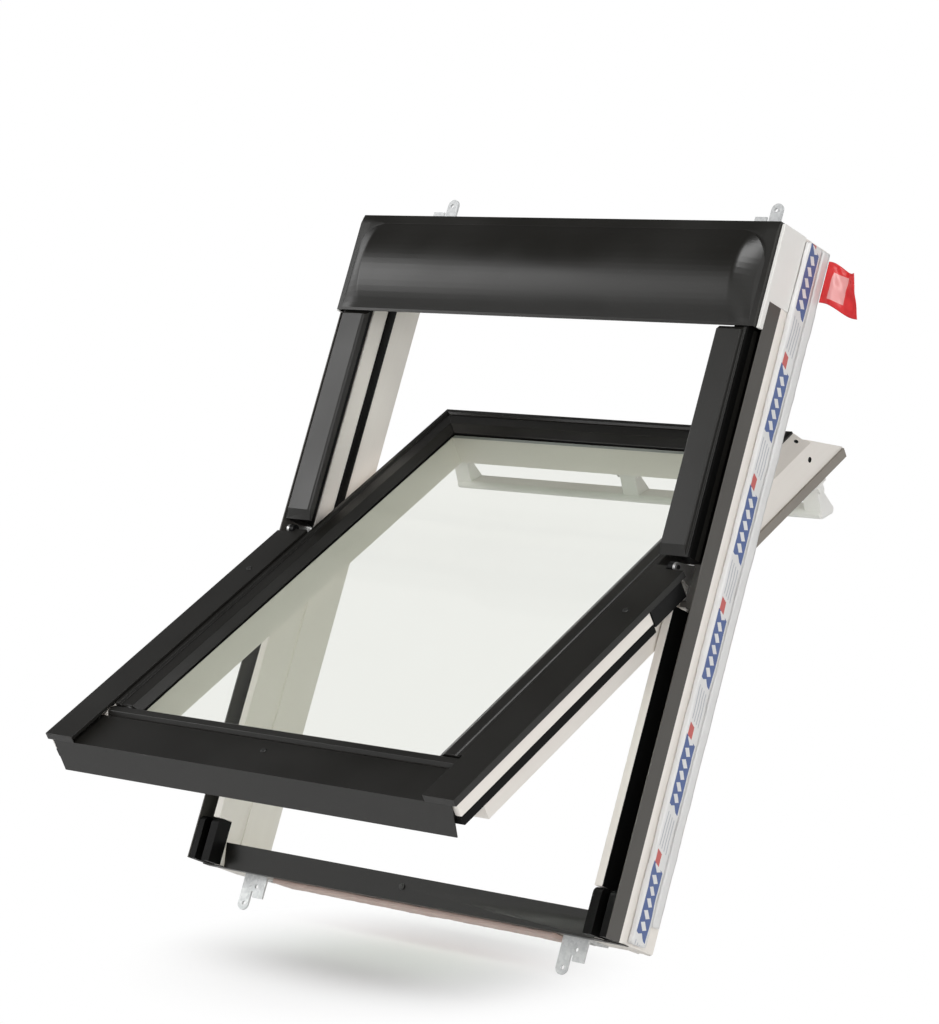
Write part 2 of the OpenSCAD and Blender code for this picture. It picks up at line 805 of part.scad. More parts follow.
// A rectangular ring in the pane plane, inset from the pane's edge.
module pane_ring(inset, width, z0, z1) {
    difference() {
        block([-pane_x + inset, pane_low_y + inset, z0], [pane_x - inset, pane_top_y - inset, z1]);
        block([-pane_x + inset + width, pane_low_y + inset + width, z0 - eps],
            [pane_x - inset - width, pane_top_y - inset - width, z1 + eps]);
    }
}
module spacer_bar() {
    color("#a9acab") on_sash()
        pane_ring(4, 12, -glass_drop - pane_t - pane_gap, -glass_drop - pane_t);
}
module glazing_seal() {
    lip = 3;
    color("#121212") on_sash()
        difference() {
            block([-pane_x, glass_view_low + 2, -glass_drop], [pane_x, pane_top_y, clad_z + 1]);
            block([-glass_view_x + lip, glass_view_low + 5, -glass_drop - eps],
                [glass_view_x - lip, glass_view_top - lip, clad_z + 1 + eps]);
        }
}

// Glazing cladding profile, flush with the covers: it runs inwards from its own outer edge.
module glazing_profile(width) {
    foot = clad_z + 1;
    polygon([[0, foot], [0, -2], [1.5, -0.8], [8, -0.8], [10, -4], [14, -4], [16, -2.5],
        [width - 14, -3], [width, -11], [width, foot]]);
}

module glazing_clad_side(s) {
    color("#2c2c29") on_sash() side(s)
        difference() {
            along_y(glass_view_low + 2, clad_top_y)
                translate([clad_edge, 0]) mirror([1, 0]) glazing_profile(clad_w);
            translate([clad_edge, clad_top_y, 0])
                rotate([0, 0, 45])
                    translate([-2 * sash_x, 0, -60])
                        cube([4 * sash_x, sash_x, 120]);
        }
}
module glazing_clad_left() glazing_clad_side(-1);
module glazing_clad_right() glazing_clad_side(1);

module glazing_clad_top() {
    color("#2c2c29") on_sash()
        difference() {
            along_x(-clad_edge, clad_edge)
                translate([clad_top_y, 0]) mirror([1, 0]) glazing_profile(clad_w);
            for (s = [-1, 1])
                side(s)
                    translate([clad_edge, clad_top_y, 0])
                        rotate([0, 0, 45])
                            translate([-2 * sash_x, -sash_x, -60])
                                cube([4 * sash_x, sash_x, 120]);
        }
}

// Raised bead along the lower edge of the glass.
module bottom_bead() {
    color("#3d3d3a") on_sash()
        along_x(-cover_in + 2, cover_in - 2)
            polygon([[glass_view_low + 1.5, -glass_drop], [glass_view_low + 1.5, -7],
                [glass_view_low - 3, -3.5], [glass_view_low - 14, -3], [low_y, -8.5], [low_y, -10],
                [low_y + 2, -10], [low_y + 2, -glass_drop]]);
}

// Side covers of the lower half, closed at their lower end.
module lower_cover(s) {
    skirt = 10;
    cap_y = end_y - 4;
    color("#33332f") on_sash() side(s)
        difference() {
            union() {
                along_y(cap_y, -1) cover_profile(cover_top, skirt);
                block([cover_in, cap_y, cover_top - skirt], [cover_out, cap_y + sheet_t, cover_top]);
            }
            block([ear_x - 10, -notch_y, -20], [cover_out + eps, 0, 20]);
            for (y = lower_screw_y)
                translate([cover_screw_x, y, 0]) screw_hole(shank_r, short_shank);
            for (y = lower_screw_y)
                translate([cover_screw_x, y, cover_top]) screw_hole(shank_r, 2 * sheet_t);
        }
}
module lower_cover_left() lower_cover(-1);
module lower_cover_right() lower_cover(1);

// Flat lower cover with the drip apron folded down at its end, wider than the panel.
module bottom_cover() {
    lip_out = 6;
    fold_y = end_y - 2.5;
    panel_x = sash_x - eps;
    top_m = -8.5;
    low_m = top_m - apron_h;
    color("#454541") on_sash()
        difference() {
            union() {
                block([-panel_x, fold_y, top_m - sheet_t], [panel_x, low_y - 2, top_m]);
                intersection() {
                    along_x(-lip_x, lip_x)
                        polygon([[fold_y, top_m], [fold_y - lip_out, low_m],
                            [fold_y - lip_out + sheet_t, low_m], [fold_y + sheet_t, top_m - sheet_t],
                            [fold_y + sheet_t, top_m]]);
                    along_y(fold_y - 2 * lip_out, end_y)
                        polygon([[-lip_x, top_m], [lip_x, top_m], [apron_x, low_m], [-apron_x, low_m]]);
                }
            }
            translate([0, bottom_screw_y, top_m]) screw_hole(shank_r, short_shank);
        }
}

// Black seal under the wings and the lower rail.
module sash_seal() {
    seal_low = -wing_h - sash_seal_h;
    color("#0f0f0f") on_sash() {
        for (s = [-1, 1])
            side(s)
                block([wing_in, end_y, seal_low], [wing_out, -hinge_room, -wing_h]);
        block([-wing_in, end_y, seal_low], [wing_in, end_y + wing_wall, -wing_h]);
    }
}

module sash_screws() {
    color("#2a2a28") on_sash() {
        for (s = [-1, 1], y = lower_screw_y)
            translate([s * cover_screw_x, y, cover_top]) screw(pan_r, 1.2, shank_r, short_shank);
        translate([0, bottom_screw_y, -8.5]) screw(pan_r, 1.2, shank_r, sheet_t);
        for (s = [-1, 1])
            side(s) arm_screw_places() screw(4, 1.5, shank_r, 12);
    }
}

// Screws that hold a hinge arm to the wing and the stile.
module arm_screw_places() {
    for (y = [-20, -34])
        translate([eye_x + eye_plate, y, -18])
            rotate([0, 90, 0])
                children();
}
module arm_holes() {
    arm_screw_places() screw_hole(shank_r, 14);
}

// Hinge arm on the sash: plate, hub, pivot pin and the shield that closes the wing beside the hinge.
module hinge_arm(s) {
    plate_y = [-42, -wing_start];
    plate_m = [-26, -web_t - 1];
    shield_y = [2 - hinge_room, -18];
    shield_t = 2.5;
    color("#2b2b2a") on_sash() side(s)
        difference() {
            union() {
                along_x(eye_x, hub_x) {
                    translate([plate_y[0], plate_m[0]])
                        square([plate_y[1] - plate_y[0], plate_m[1] - plate_m[0]]);
                    polygon([[plate_y[1] - eps, plate_m[0]], [plate_y[1] - eps, plate_m[1]],
                        [-eye_r * 0.7, 0], [eye_r * 0.9, -eye_r * 0.4], [0, -eye_r]]);
                    circle(eye_r);
                }
                translate([hub_x - eps, 0, 0])
                    rotate([0, 90, 0])
                        cylinder(r = eye_r, h = eye_hub + eps);
                translate([eye_x, 0, 0])
                    rotate([0, 90, 0])
                        cylinder(r = pin_r, h = pin_end - eye_x);
                block([eye_x, plate_y[0], -web_t - 2], [wing_out, shield_y[1], -web_t]);
                block([wing_out - shield_t, shield_y[0], -wing_h - 6], [wing_out, shield_y[1], -web_t]);
            }
            arm_holes();
        }
}
module hinge_arm_left() hinge_arm(-1);
module hinge_arm_right() hinge_arm(1);

// Handle and lock

// Forked bearings on the back of the top rail.
module handle_bearings() {
    base_t = 3;
    room = arm_w / 2 + 0.4;
    color("#e4e2dc") on_sash()
        for (x = arm_x)
            translate([x, handle_y, 0])
                difference() {
                    union() {
                        block([-room - eye_t, -15, back_m - base_t], [room + eye_t, 15, back_m]);
                        for (s = [-1, 1])
                            side(s)
                                along_x(room, room + eye_t) {
                                    translate([0, handle_m - base_t]) circle(6);
                                    translate([-6, handle_m - base_t])
                                        square([12, back_m - handle_m + base_t]);
                                }
                    }
                    translate([-room - eye_t - eps, 0, handle_m - base_t])
                        rotate([0, 90, 0])
                            cylinder(r = handle_pin_r + running_fit, h = 2 * (room + eye_t + eps));
                }
}

// Pull bar with three arms, turning on pins in the bearings.
module handle_bar() {
    pivot_m = handle_m - 3;
    pin_l = arm_w / 2 + 0.4 + eye_t;
    bar_half = sash_x - 6;
    bar_y = handle_y + 2;
    color("#f0efec") on_sash() {
        along_x(-bar_half, bar_half)
            translate([bar_y, bar_m])
                rotate(-bar_tilt) {
                    square([bar_w - bar_t, bar_t], center = true);
                    for (s = [-1, 1])
                        translate([s * (bar_w - bar_t) / 2, 0]) circle(bar_t / 2);
                }
        for (x = arm_x)
            translate([x, 0, 0]) {
                along_x(-arm_w / 2, arm_w / 2) {
                    translate([handle_y, pivot_m]) circle(5);
                    polygon([[handle_y + 5, pivot_m], [handle_y - 5, pivot_m], [bar_y - bar_w * 0.42, bar_m],
                        [bar_y + bar_w * 0.42, bar_m]]);
                }
                translate([-pin_l, handle_y, pivot_m])
                    rotate([0, 90, 0])
                        cylinder(r = handle_pin_r, h = 2 * pin_l);
            }
    }
}

// Lock case in the top rail, with the slot that the bolt runs in.
module lock_case() {
    fit = 0.2;
    slot = 0.3;
    color("#9a9c9c") on_sash()
        difference() {
            block([-lock_room[0] + fit, top_y - 2 - lock_room[1] + fit, bolt_m[0] - 1.5 + fit],
                [lock_room[0] - fit, top_y - 2 - fit, bolt_m[1] + lock_room[2] - fit]);
            block([-bolt_w / 2 - slot, top_y - bolt_len - 3, bolt_m[0] - slot],
                [bolt_w / 2 + slot, top_y, bolt_m[1] + slot]);
        }
}

module latch_bolt() {
    color("#c6c8c8") on_sash()
        along_x(-bolt_w / 2, bolt_w / 2)
            polygon([[top_y - bolt_len - 1, bolt_m[0]], [top_y - 4, bolt_m[0]], [top_y - 1, bolt_m[0] + 3],
                [top_y - 1, bolt_m[1]], [top_y - bolt_len - 1, bolt_m[1]]]);
}

jamb_left();
jamb_right();
frame_head();
frame_sill();
hood();
hood_end_left();
hood_end_right();
upper_cover_left();
upper_cover_right();
cover_carrier_left();
cover_carrier_right();
gutter_left();
gutter_right();
sill_cladding();
corner_block_left();
corner_block_right();
frame_seal_left();
frame_seal_right();
frame_seal_head();
collar_left();
collar_right();
collar_head();
collar_sill();
pull_tag();
bracket_top_left();
bracket_top_right();
bracket_bottom_left();
bracket_bottom_right();
bracket_screws();
frame_screws();
hinge_ear_left();
hinge_ear_right();
striker_plate();
stile_left();
stile_right();
top_rail();
bottom_rail();
edge_strip_left();
edge_strip_right();
wing_left();
wing_right();
outer_pane();
inner_pane();
spacer_bar();
glazing_seal();
glazing_clad_left();
glazing_clad_right();
glazing_clad_top();
bottom_bead();
lower_cover_left();
lower_cover_right();
bottom_cover();
sash_seal();
sash_screws();
hinge_arm_left();
hinge_arm_right();
handle_bearings();
lock_case();
handle_bar();
latch_bolt();
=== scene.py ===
"""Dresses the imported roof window: rounded edges, finishes, film collar, pull tag and stage."""
import json
import math

import bmesh
import bpy
from bpy.props import FloatProperty, FloatVectorProperty, IntProperty, PointerProperty
from mathutils import Matrix, Vector, noise


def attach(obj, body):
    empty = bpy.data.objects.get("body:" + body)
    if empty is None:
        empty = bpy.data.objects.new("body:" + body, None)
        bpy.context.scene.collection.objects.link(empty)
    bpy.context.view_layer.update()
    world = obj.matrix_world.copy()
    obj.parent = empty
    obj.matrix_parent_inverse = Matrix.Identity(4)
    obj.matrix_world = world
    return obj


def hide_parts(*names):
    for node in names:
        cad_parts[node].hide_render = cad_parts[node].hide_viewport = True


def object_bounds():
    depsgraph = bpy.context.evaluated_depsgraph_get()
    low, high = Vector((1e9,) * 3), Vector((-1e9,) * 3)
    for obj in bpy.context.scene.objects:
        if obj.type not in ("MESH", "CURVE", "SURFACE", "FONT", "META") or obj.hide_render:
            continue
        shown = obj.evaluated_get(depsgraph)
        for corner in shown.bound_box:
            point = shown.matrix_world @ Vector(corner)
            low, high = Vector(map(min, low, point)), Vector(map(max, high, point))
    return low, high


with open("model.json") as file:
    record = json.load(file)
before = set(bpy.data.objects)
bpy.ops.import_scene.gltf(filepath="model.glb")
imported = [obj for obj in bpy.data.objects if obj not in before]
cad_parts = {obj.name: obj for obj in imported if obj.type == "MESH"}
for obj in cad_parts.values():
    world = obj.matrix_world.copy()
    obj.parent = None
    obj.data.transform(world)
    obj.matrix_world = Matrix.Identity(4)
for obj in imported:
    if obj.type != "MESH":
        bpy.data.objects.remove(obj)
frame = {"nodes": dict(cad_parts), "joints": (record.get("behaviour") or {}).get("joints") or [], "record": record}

bl_info = {
    "name": "Roof window dressing",
    "version": (1, 0, 0),
    "blender": (4, 5, 0),
    "location": "View3D > Sidebar > Roof window",
    "description": "Finishes and small pieces of a centre-pivot roof window on its packed frame",
    "category": "Object",
}

CAD_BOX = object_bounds()
NODES = frame["nodes"]
RECORD = frame["record"]
BODY_OF = {n: b for b, names in RECORD["behaviour"]["bodies"].items() for n in names}
ROOF_AXIS = next(m["axis"] for m in RECORD["mounts"] if m["name"] == "roof_opening")
SASH_JOINT = next(j for j in frame["joints"] if j["name"] == "sash_pivot")
PITCH = math.atan2(-ROOF_AXIS[1], ROOF_AXIS[2])
OPEN = math.radians(-SASH_JOINT["range_deg"][0])
# Height of the frame up the slope, and depth of the brackets' undersides below the cover plane.
FRAME_H = 0.98
SEAT_DROP = 0.068
# Window coordinates are x across, y up the slope from the lower edge and z out from the cover
# plane. WINDOW takes them to the shared frame.
WINDOW = Matrix.Rotation(PITCH, 4, "X") @ Matrix.Translation((0, -FRAME_H / 2, SEAT_DROP))
TO_WINDOW = WINDOW.inverted()
# The pivot in the coordinates of finishes that are turned with the sash.
SASH_START = Matrix.Rotation(OPEN - PITCH, 4, "X") @ Vector(SASH_JOINT["pos_m"])

# Points closer than WELD are one, and places count as equal within NEAR.
WELD = 1e-6
NEAR = 0.001
# Faces that bend less than FLAT are joined, edges that bend more than FOLD are rounded, and the
# shading splits at edges that bend more than SHADE_SPLIT.
FLAT = math.radians(0.4)
FOLD = math.radians(25)
SHADE_SPLIT = math.radians(50)


def colour_value(name, description, default):
    """A colour that the user can change."""
    return FloatVectorProperty(name=name, description=description, default=default,
                               subtype="COLOR", size=3, min=0, max=1)


def length_value(name, description, default, most):
    """A length that the user can change."""
    return FloatProperty(name=name, description=description, default=default,
                         min=0.0, max=most, unit="LENGTH")


def light_value(name, description, default, unit="NONE"):
    """A power or strength of light that the user can change."""
    return FloatProperty(name=name, description=description, default=default, min=0, unit=unit)


class WindowFinishes(bpy.types.PropertyGroup):
    """Colours of the window's finishes"""

    timber: colour_value("Timber", "White lacquered timber", (0.87, 0.828, 0.775))
    cladding: colour_value("Cladding", "Coated outer sheet", (0.0085, 0.0080, 0.0066))
    gutter: colour_value("Gutter", "Coated side cladding", (0.074, 0.069, 0.062))
    rubber: colour_value("Rubber", "Seals and blocks", (0.0035, 0.0035, 0.0034))
    white_plastic: colour_value("White plastic", "Handle and end plates", (0.84, 0.83, 0.80))
    strip: colour_value("Edge strip", "Taupe strip on the sash", (0.285, 0.258, 0.225))
    film: colour_value("Film", "Collar film", (0.77, 0.765, 0.755))
    sill_film: colour_value("Sill film", "Collar film under the sill", (0.62, 0.47, 0.42))
    print_blue: colour_value("Blue print", "Blue ink on the film", (0.035, 0.085, 0.28))
    print_red: colour_value("Red print", "Red ink on the film", (0.55, 0.06, 0.05))
    print_grey: colour_value("Grey print", "Grey ink on the film", (0.22, 0.24, 0.32))
    tag: colour_value("Tag", "Pull tag", (0.66, 0.022, 0.024))
    zinc: colour_value("Zinc", "Galvanised brackets", (0.72, 0.73, 0.73))
    steel: colour_value("Steel", "Hinge ears, lock and bracket screws", (0.64, 0.64, 0.63))
    hinge: colour_value("Hinge", "Coated hinge arms", (0.006, 0.006, 0.006))
    plating: colour_value("Plating", "Screws of the covers", (0.06, 0.06, 0.058))
    spacer: colour_value("Spacer", "Bar between the panes", (0.30, 0.31, 0.30))
    glass: colour_value("Glass", "Tint of the panes", (0.925, 0.930, 0.908))


class WindowSizes(bpy.types.PropertyGroup):
    """Sizes of the rounded edges and small pieces"""

    timber_edge: length_value("Timber edge", "Rounding of timber edges", 0.0016, 0.004)
    sheet_edge: length_value("Sheet edge", "Rounding of folded sheet", 0.0007, 0.003)
    bracket_edge: length_value("Bracket edge", "Rounding of bracket edges", 0.0004, 0.001)
    edge_steps: IntProperty(name="Edge steps", description="Segments of a rounded edge",
                            default=3, min=1, max=6)
    film_wrinkle: length_value("Film wrinkle", "Height of the film's wrinkles", 0.0019, 0.004)
    tag_curl: length_value("Tag curl", "Height of the tag's waves", 0.007, 0.02)


class StageSettings(bpy.types.PropertyGroup):
    """Camera, light and floor"""

    camera_place: FloatVectorProperty(name="Camera", description="Place of the camera",
                                      default=(3.21036, -3.63646, 0.59380),
                                      subtype="TRANSLATION", size=3, unit="LENGTH")
    camera_turn: FloatVectorProperty(name="Camera turn", description="Turn of the camera",
                                     default=[math.radians(a) for a in (83.8807, 0.2998, 41.9488)],
                                     subtype="EULER", size=3)
    lens: FloatProperty(name="Lens", description="Focal length on a 36 mm frame",
                        default=123.114, min=10, unit="CAMERA")
    key_power: light_value("Key", "Power of the overhead softbox", 55.0, "POWER")
    left_power: light_value("Left", "Power of the left front softbox", 15.0, "POWER")
    right_power: light_value("Right", "Power of the right softbox", 22.0, "POWER")
    sky: light_value("Sky", "Strength of the studio's walls near the horizon", 0.95)
    floor_glow: light_value("Floor glow", "Light that the floor adds to its own", 0.16)
    zenith: light_value("Zenith", "Strength of the studio's ceiling", 0.05)


# Node helpers

def tree_node(tree, kind, **values):
    """Adds a node and sets its attributes."""
    node = tree.nodes.new(kind)
    for name, value in values.items():
        setattr(node, name, value)
    return node


def wire(tree, source, target):
    """Feeds an input from a socket, or sets it to a number, a vector or a colour."""
    if isinstance(source, bpy.types.NodeSocket):
        tree.links.new(source, target)
    elif target.type == "RGBA":
        target.default_value = (*source[:3], 1)
    else:
        target.default_value = source


def wire_all(tree, inputs, sources):
    """Feeds several inputs, given by their labels."""
    for label, source in sources.items():
        wire(tree, source, inputs[label])


def math_node(tree, operation, *sources):
    """A Math node on sockets or numbers. Returns its output."""
    node = tree_node(tree, "ShaderNodeMath", operation=operation)
    for source, target in zip(sources, node.inputs):
        wire(tree, source, target)
    return node.outputs[0]


def between(tree, value, low, high):
    """1 where a value lies between two limits, and 0 elsewhere."""
    return math_node(tree, "MULTIPLY", math_node(tree, "GREATER_THAN", value, low),
                     math_node(tree, "LESS_THAN", value, high))


def off_centre(tree, value, centre):
    """How far a value is from a centre, to either side."""
    return math_node(tree, "ABSOLUTE", math_node(tree, "SUBTRACT", value, centre))


def mix_colour(tree, factor, first, second, blend="MIX"):
    """A mix of two colours, each a socket or a colour. Returns its output."""
    node = tree_node(tree, "ShaderNodeMix", data_type="RGBA", blend_type=blend)
    # A Mix node has these inputs and outputs once for each type of data; these are the colour's.
    for source, place in ((factor, 0), (first, 6), (second, 7)):
        wire(tree, source, node.inputs[place])
    return node.outputs[2]


def noise_value(tree, vector, scale, detail=3.0, roughness=0.55):
    """A noise texture's value, mostly between 0.3 and 0.7."""
    node = tree_node(tree, "ShaderNodeTexNoise")
    wire_all(tree, node.inputs, {"Vector": vector, "Scale": scale, "Detail": detail,
                                 "Roughness": roughness})
    return node.outputs[0]


def ramp_value(tree, value, limits, results, kind="LINEAR"):
    """A value taken from between two limits to between two results."""
    node = tree_node(tree, "ShaderNodeMapRange", interpolation_type=kind)
    wire_all(tree, node.inputs, {"Value": value, "From Min": limits[0], "From Max": limits[1],
                                 "To Min": results[0], "To Max": results[1]})
    return node.outputs[0]


def split_axes(tree, vector):
    """A vector's X, Y and Z by their names."""
    node = tree_node(tree, "ShaderNodeSeparateXYZ")
    wire(tree, vector, node.inputs[0])
    return dict(node.outputs.items())


def distance_to(tree, vector, point):
    """How far a vector is from a point."""
    node = tree_node(tree, "ShaderNodeVectorMath", operation="DISTANCE")
    wire(tree, vector, node.inputs[0])
    wire(tree, point, node.inputs[1])
    return node.outputs["Value"]


def ray_is(tree, first, second):
    """1 for rays of either of two kinds, and 0 for others."""
    path = tree_node(tree, "ShaderNodeLightPath")
    return math_node(tree, "MAXIMUM", path.outputs[first], path.outputs[second])


def own_place(tree, turn=0.0, spread=(1, 1, 1)):
    """A piece's own coordinates, turned about the x axis and stretched."""
    mapping = tree_node(tree, "ShaderNodeMapping")
    where = tree_node(tree, "ShaderNodeTexCoord")
    wire_all(tree, mapping.inputs, {"Vector": where.outputs["Object"], "Rotation": (-turn, 0, 0),
                                    "Scale": spread})
    return mapping.outputs[0]


def relief(tree, shader, height, strength, depth):
    """Bumps a shader's surface by a height."""
    node = tree_node(tree, "ShaderNodeBump")
    wire_all(tree, node.inputs, {"Height": height, "Strength": strength, "Distance": depth})
    wire(tree, node.outputs[0], shader.inputs["Normal"])


def blend_shaders(tree, factor, first, second):
    """Shows one shader where the factor is 0 and another where it is 1."""
    node = tree_node(tree, "ShaderNodeMixShader")
    for source, target in zip((factor, first, second), node.inputs):
        wire(tree, source, target)
    wire(tree, node.outputs[0], tree.nodes["Material Output"].inputs["Surface"])


def new_material(name):
    """A new material, its node tree and its shader."""
    material = bpy.data.materials.new(name)
    material.use_nodes = True
    tree = material.node_tree
    return material, tree, tree.nodes["Principled BSDF"]


# Effect groups

def open_group(name, colour, **values):
    """A group that takes a vector, a colour and values. Returns its tree, inputs and end node."""
    tree = bpy.data.node_groups.new(name, "ShaderNodeTree")

    def socket(label, way, kind, default=None):
        made = tree.interface.new_socket(label, in_out=way, socket_type="NodeSocket" + kind)
        if default is not None:
            made.default_value = default

    socket("Vector", "INPUT", "Vector")
    socket("Colour", "INPUT", "Color", (*colour, 1))
    for label, value in values.items():
        socket(label, "INPUT", "Float", value)
    socket("Colour", "OUTPUT", "Color")
    socket("Roughness", "OUTPUT", "Float")
    socket("Height", "OUTPUT", "Float")
    return tree, tree.nodes.new("NodeGroupInput").outputs, tree.nodes.new("NodeGroupOutput")


def close_group(tree, end, colour, roughness, height):
    """Links a group's results to its end and returns the group."""
    wire_all(tree, end.inputs, {"Colour": colour, "Roughness": roughness, "Height": height})
    return tree


def lacquer_group():
    """Grain that shows faintly through white lacquer, with uneven sheen."""
    tree, given, end = open_group("Lacquered timber", (0.8, 0.8, 0.8), Grain=0.05)
    stretch = tree_node(tree, "ShaderNodeMapping")
    wire_all(tree, stretch.inputs, {"Vector": given["Vector"], "Scale": (55, 2.2, 55)})
    fibres = noise_value(tree, stretch.outputs[0], scale=6.0, detail=5.0, roughness=0.6)
    bands = noise_value(tree, stretch.outputs[0], scale=1.2, detail=2.0)
    cloud = noise_value(tree, given["Vector"], scale=3.0, detail=2.0)
    both = math_node(tree, "ADD", math_node(tree, "MULTIPLY", fibres, 0.6),
                     math_node(tree, "MULTIPLY", bands, 0.4))
    tone = math_node(tree, "MULTIPLY", ramp_value(tree, both, (0.35, 0.7), (0, 1)),
                     given["Grain"])
    shade = mix_colour(tree, tone, given["Colour"], (0.42, 0.34, 0.24))
    warmth = ramp_value(tree, cloud, (0.35, 0.7), (0.0, 0.07))
    warm = mix_colour(tree, warmth, shade, (0.62, 0.56, 0.46))
    sheen = ramp_value(tree, cloud, (0.3, 0.7), (0.34, 0.48))
    return close_group(tree, end, warm, sheen, fibres)


def coating_group():
    """Powder coat on sheet: fine orange peel, faint dust and uneven gloss."""
    tree, given, end = open_group("Coated sheet", (0.04, 0.04, 0.04), Dust=0.06, Gloss=0.36)
    peel = noise_value(tree, given["Vector"], scale=1400.0, detail=2.0)
    cloud = noise_value(tree, given["Vector"], scale=5.0)
    specks = noise_value(tree, given["Vector"], scale=260.0, detail=2.0, roughness=0.7)
    dust = math_node(tree, "MULTIPLY", ramp_value(tree, cloud, (0.4, 0.75), (0.15, 1)),
                     given["Dust"])
    dusty = mix_colour(tree, dust, given["Colour"], (0.30, 0.29, 0.27))
    flecks = ramp_value(tree, specks, (0.64, 0.74), (0.0, 0.05))
    flecked = mix_colour(tree, flecks, dusty, (0.16, 0.16, 0.15))
    sheen = math_node(tree, "ADD", given["Gloss"],
                      ramp_value(tree, cloud, (0.3, 0.7), (-0.05, 0.07)))
    return close_group(tree, end, flecked, sheen, peel)


def moulded_group():
    """Moulded plastic or rubber: fine grain and slightly uneven tone."""
    tree, given, end = open_group("Moulded surface", (0.8, 0.8, 0.8), Tone=0.08, Scale=600.0)
    grain = noise_value(tree, given["Vector"], given["Scale"], detail=2.0)
    cloud = noise_value(tree, given["Vector"], scale=9.0)
    tone = math_node(tree, "MULTIPLY", ramp_value(tree, cloud, (0.3, 0.7), (0, 1)), given["Tone"])
    darker = mix_colour(tree, 1.0, given["Colour"], (0.55, 0.53, 0.5), "MULTIPLY")
    sheen = ramp_value(tree, cloud, (0.3, 0.7), (0.38, 0.55))
    return close_group(tree, end, mix_colour(tree, tone, given["Colour"], darker), sheen, grain)


def zinc_group():
    """Galvanised or plated steel: spangles and fine rolling lines."""
    tree, given, end = open_group("Zinc spangle", (0.6, 0.6, 0.6), Spangle=0.25, Scale=220.0)
    cells = tree_node(tree, "ShaderNodeTexVoronoi")
    wire_all(tree, cells.inputs, {"Vector": given["Vector"], "Scale": given["Scale"]})
    chance = tree_node(tree, "ShaderNodeSeparateColor")
    wire(tree, cells.outputs["Color"], chance.inputs[0])
    lines = noise_value(tree, given["Vector"], scale=900.0, detail=2.0)
    tone = math_node(tree, "MULTIPLY", chance.outputs[0], given["Spangle"])
    darker = mix_colour(tree, 1.0, given["Colour"], (0.5, 0.52, 0.54), "MULTIPLY")
    sheen = ramp_value(tree, chance.outputs[1], (0, 1), (0.30, 0.48))
    return close_group(tree, end, mix_colour(tree, tone, given["Colour"], darker), sheen, lines)


def finish(name, group, turn=0.0, spread=(1, 1, 1), bump=0.02, metallic=0.0, specular=0.5,
           **values):
    """A material that runs an effect group on the piece's own coordinates, turned to its grain."""
    material, tree, shader = new_material(name)
    effect = tree_node(tree, "ShaderNodeGroup", node_tree=group)
    wire_all(tree, effect.inputs, {"Vector": own_place(tree, turn, spread), **values})
    wire_all(tree, shader.inputs, {
        "Base Color": effect.outputs["Colour"], "Roughness": effect.outputs["Roughness"],
        "Metallic": metallic, "Specular IOR Level": specular})
    relief(tree, shader, effect.outputs["Height"], bump, depth=0.001)
    return material


def second_tone_or_shade(material, colour, limits=(), spots=()):
    """Paints a finish in a second colour within limits or in round spots, alike left and right: a real second
    tone, or painted shade.

    Limits and spots are in the finish's own turned coordinates.
    """
    tree = material.node_tree
    shader = tree.nodes["Principled BSDF"]
    coat = shader.inputs["Base Color"].links[0].from_socket
    mapping = next(n for n in tree.nodes if n.bl_idname == "ShaderNodeMapping")
    axes = split_axes(tree, mapping.outputs[0])
    axes["X"] = math_node(tree, "ABSOLUTE", axes["X"])
    mirrored = tree_node(tree, "ShaderNodeCombineXYZ")
    wire_all(tree, mirrored.inputs, axes)
    within = 1.0 if limits else 0.0
    for axis, comparison, value in limits:
        test = math_node(tree, comparison, axes[axis], value)
        within = math_node(tree, "MULTIPLY", test, within)
    for centre, radius in spots:
        reach = distance_to(tree, mirrored.outputs[0], centre)
        inside = math_node(tree, "LESS_THAN", reach, radius)
        within = math_node(tree, "MAXIMUM", inside, within)
    wire(tree, mix_colour(tree, within, coat, colour), shader.inputs["Base Color"])


# Mesh helpers

def window_box(node):
    """The lowest and highest corner of a CAD node in window coordinates."""
    points = [TO_WINDOW @ v.co for v in NODES[node].data.vertices]
    return [Vector([pick(p[i] for p in points) for i in range(3)]) for pick in (min, max)]


def cut(bm, point, normal):
    """Cuts all faces along a plane and keeps both sides."""
    bmesh.ops.bisect_plane(bm, geom=[*bm.verts, *bm.edges, *bm.faces], dist=WELD,
                           plane_co=point, plane_no=normal)


def round_edges(bm, edges, width, steps):
    bmesh.ops.bevel(bm, geom=edges, offset=width, offset_type="OFFSET", affect="EDGES",
                    segments=steps, profile=0.5, material=-1, clamp_overlap=True)


def even_shading(obj):
    """Keeps flat faces flat beside rounded edges, and splits the shading at sharp ones."""
    even = obj.modifiers.new("Even shading", "WEIGHTED_NORMAL")
    even.keep_sharp = True
    obj.data.set_sharp_from_angle(angle=SHADE_SPLIT)


def piece(name, build, body, material, place=None):
    """A new object from a bmesh, placed in the shared frame, riding on a body."""
    bm = bmesh.new()
    build(bm)
    if place is not None:
        bmesh.ops.transform(bm, matrix=place, verts=bm.verts)
    mesh = bpy.data.meshes.new(name)
    bm.to_mesh(mesh)
    bm.free()
    mesh.materials.append(material)
    for polygon in mesh.polygons:
        polygon.use_smooth = True
    obj = bpy.data.objects.new(name, mesh)
    bpy.context.scene.collection.objects.link(obj)
    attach(obj, body)
    return obj


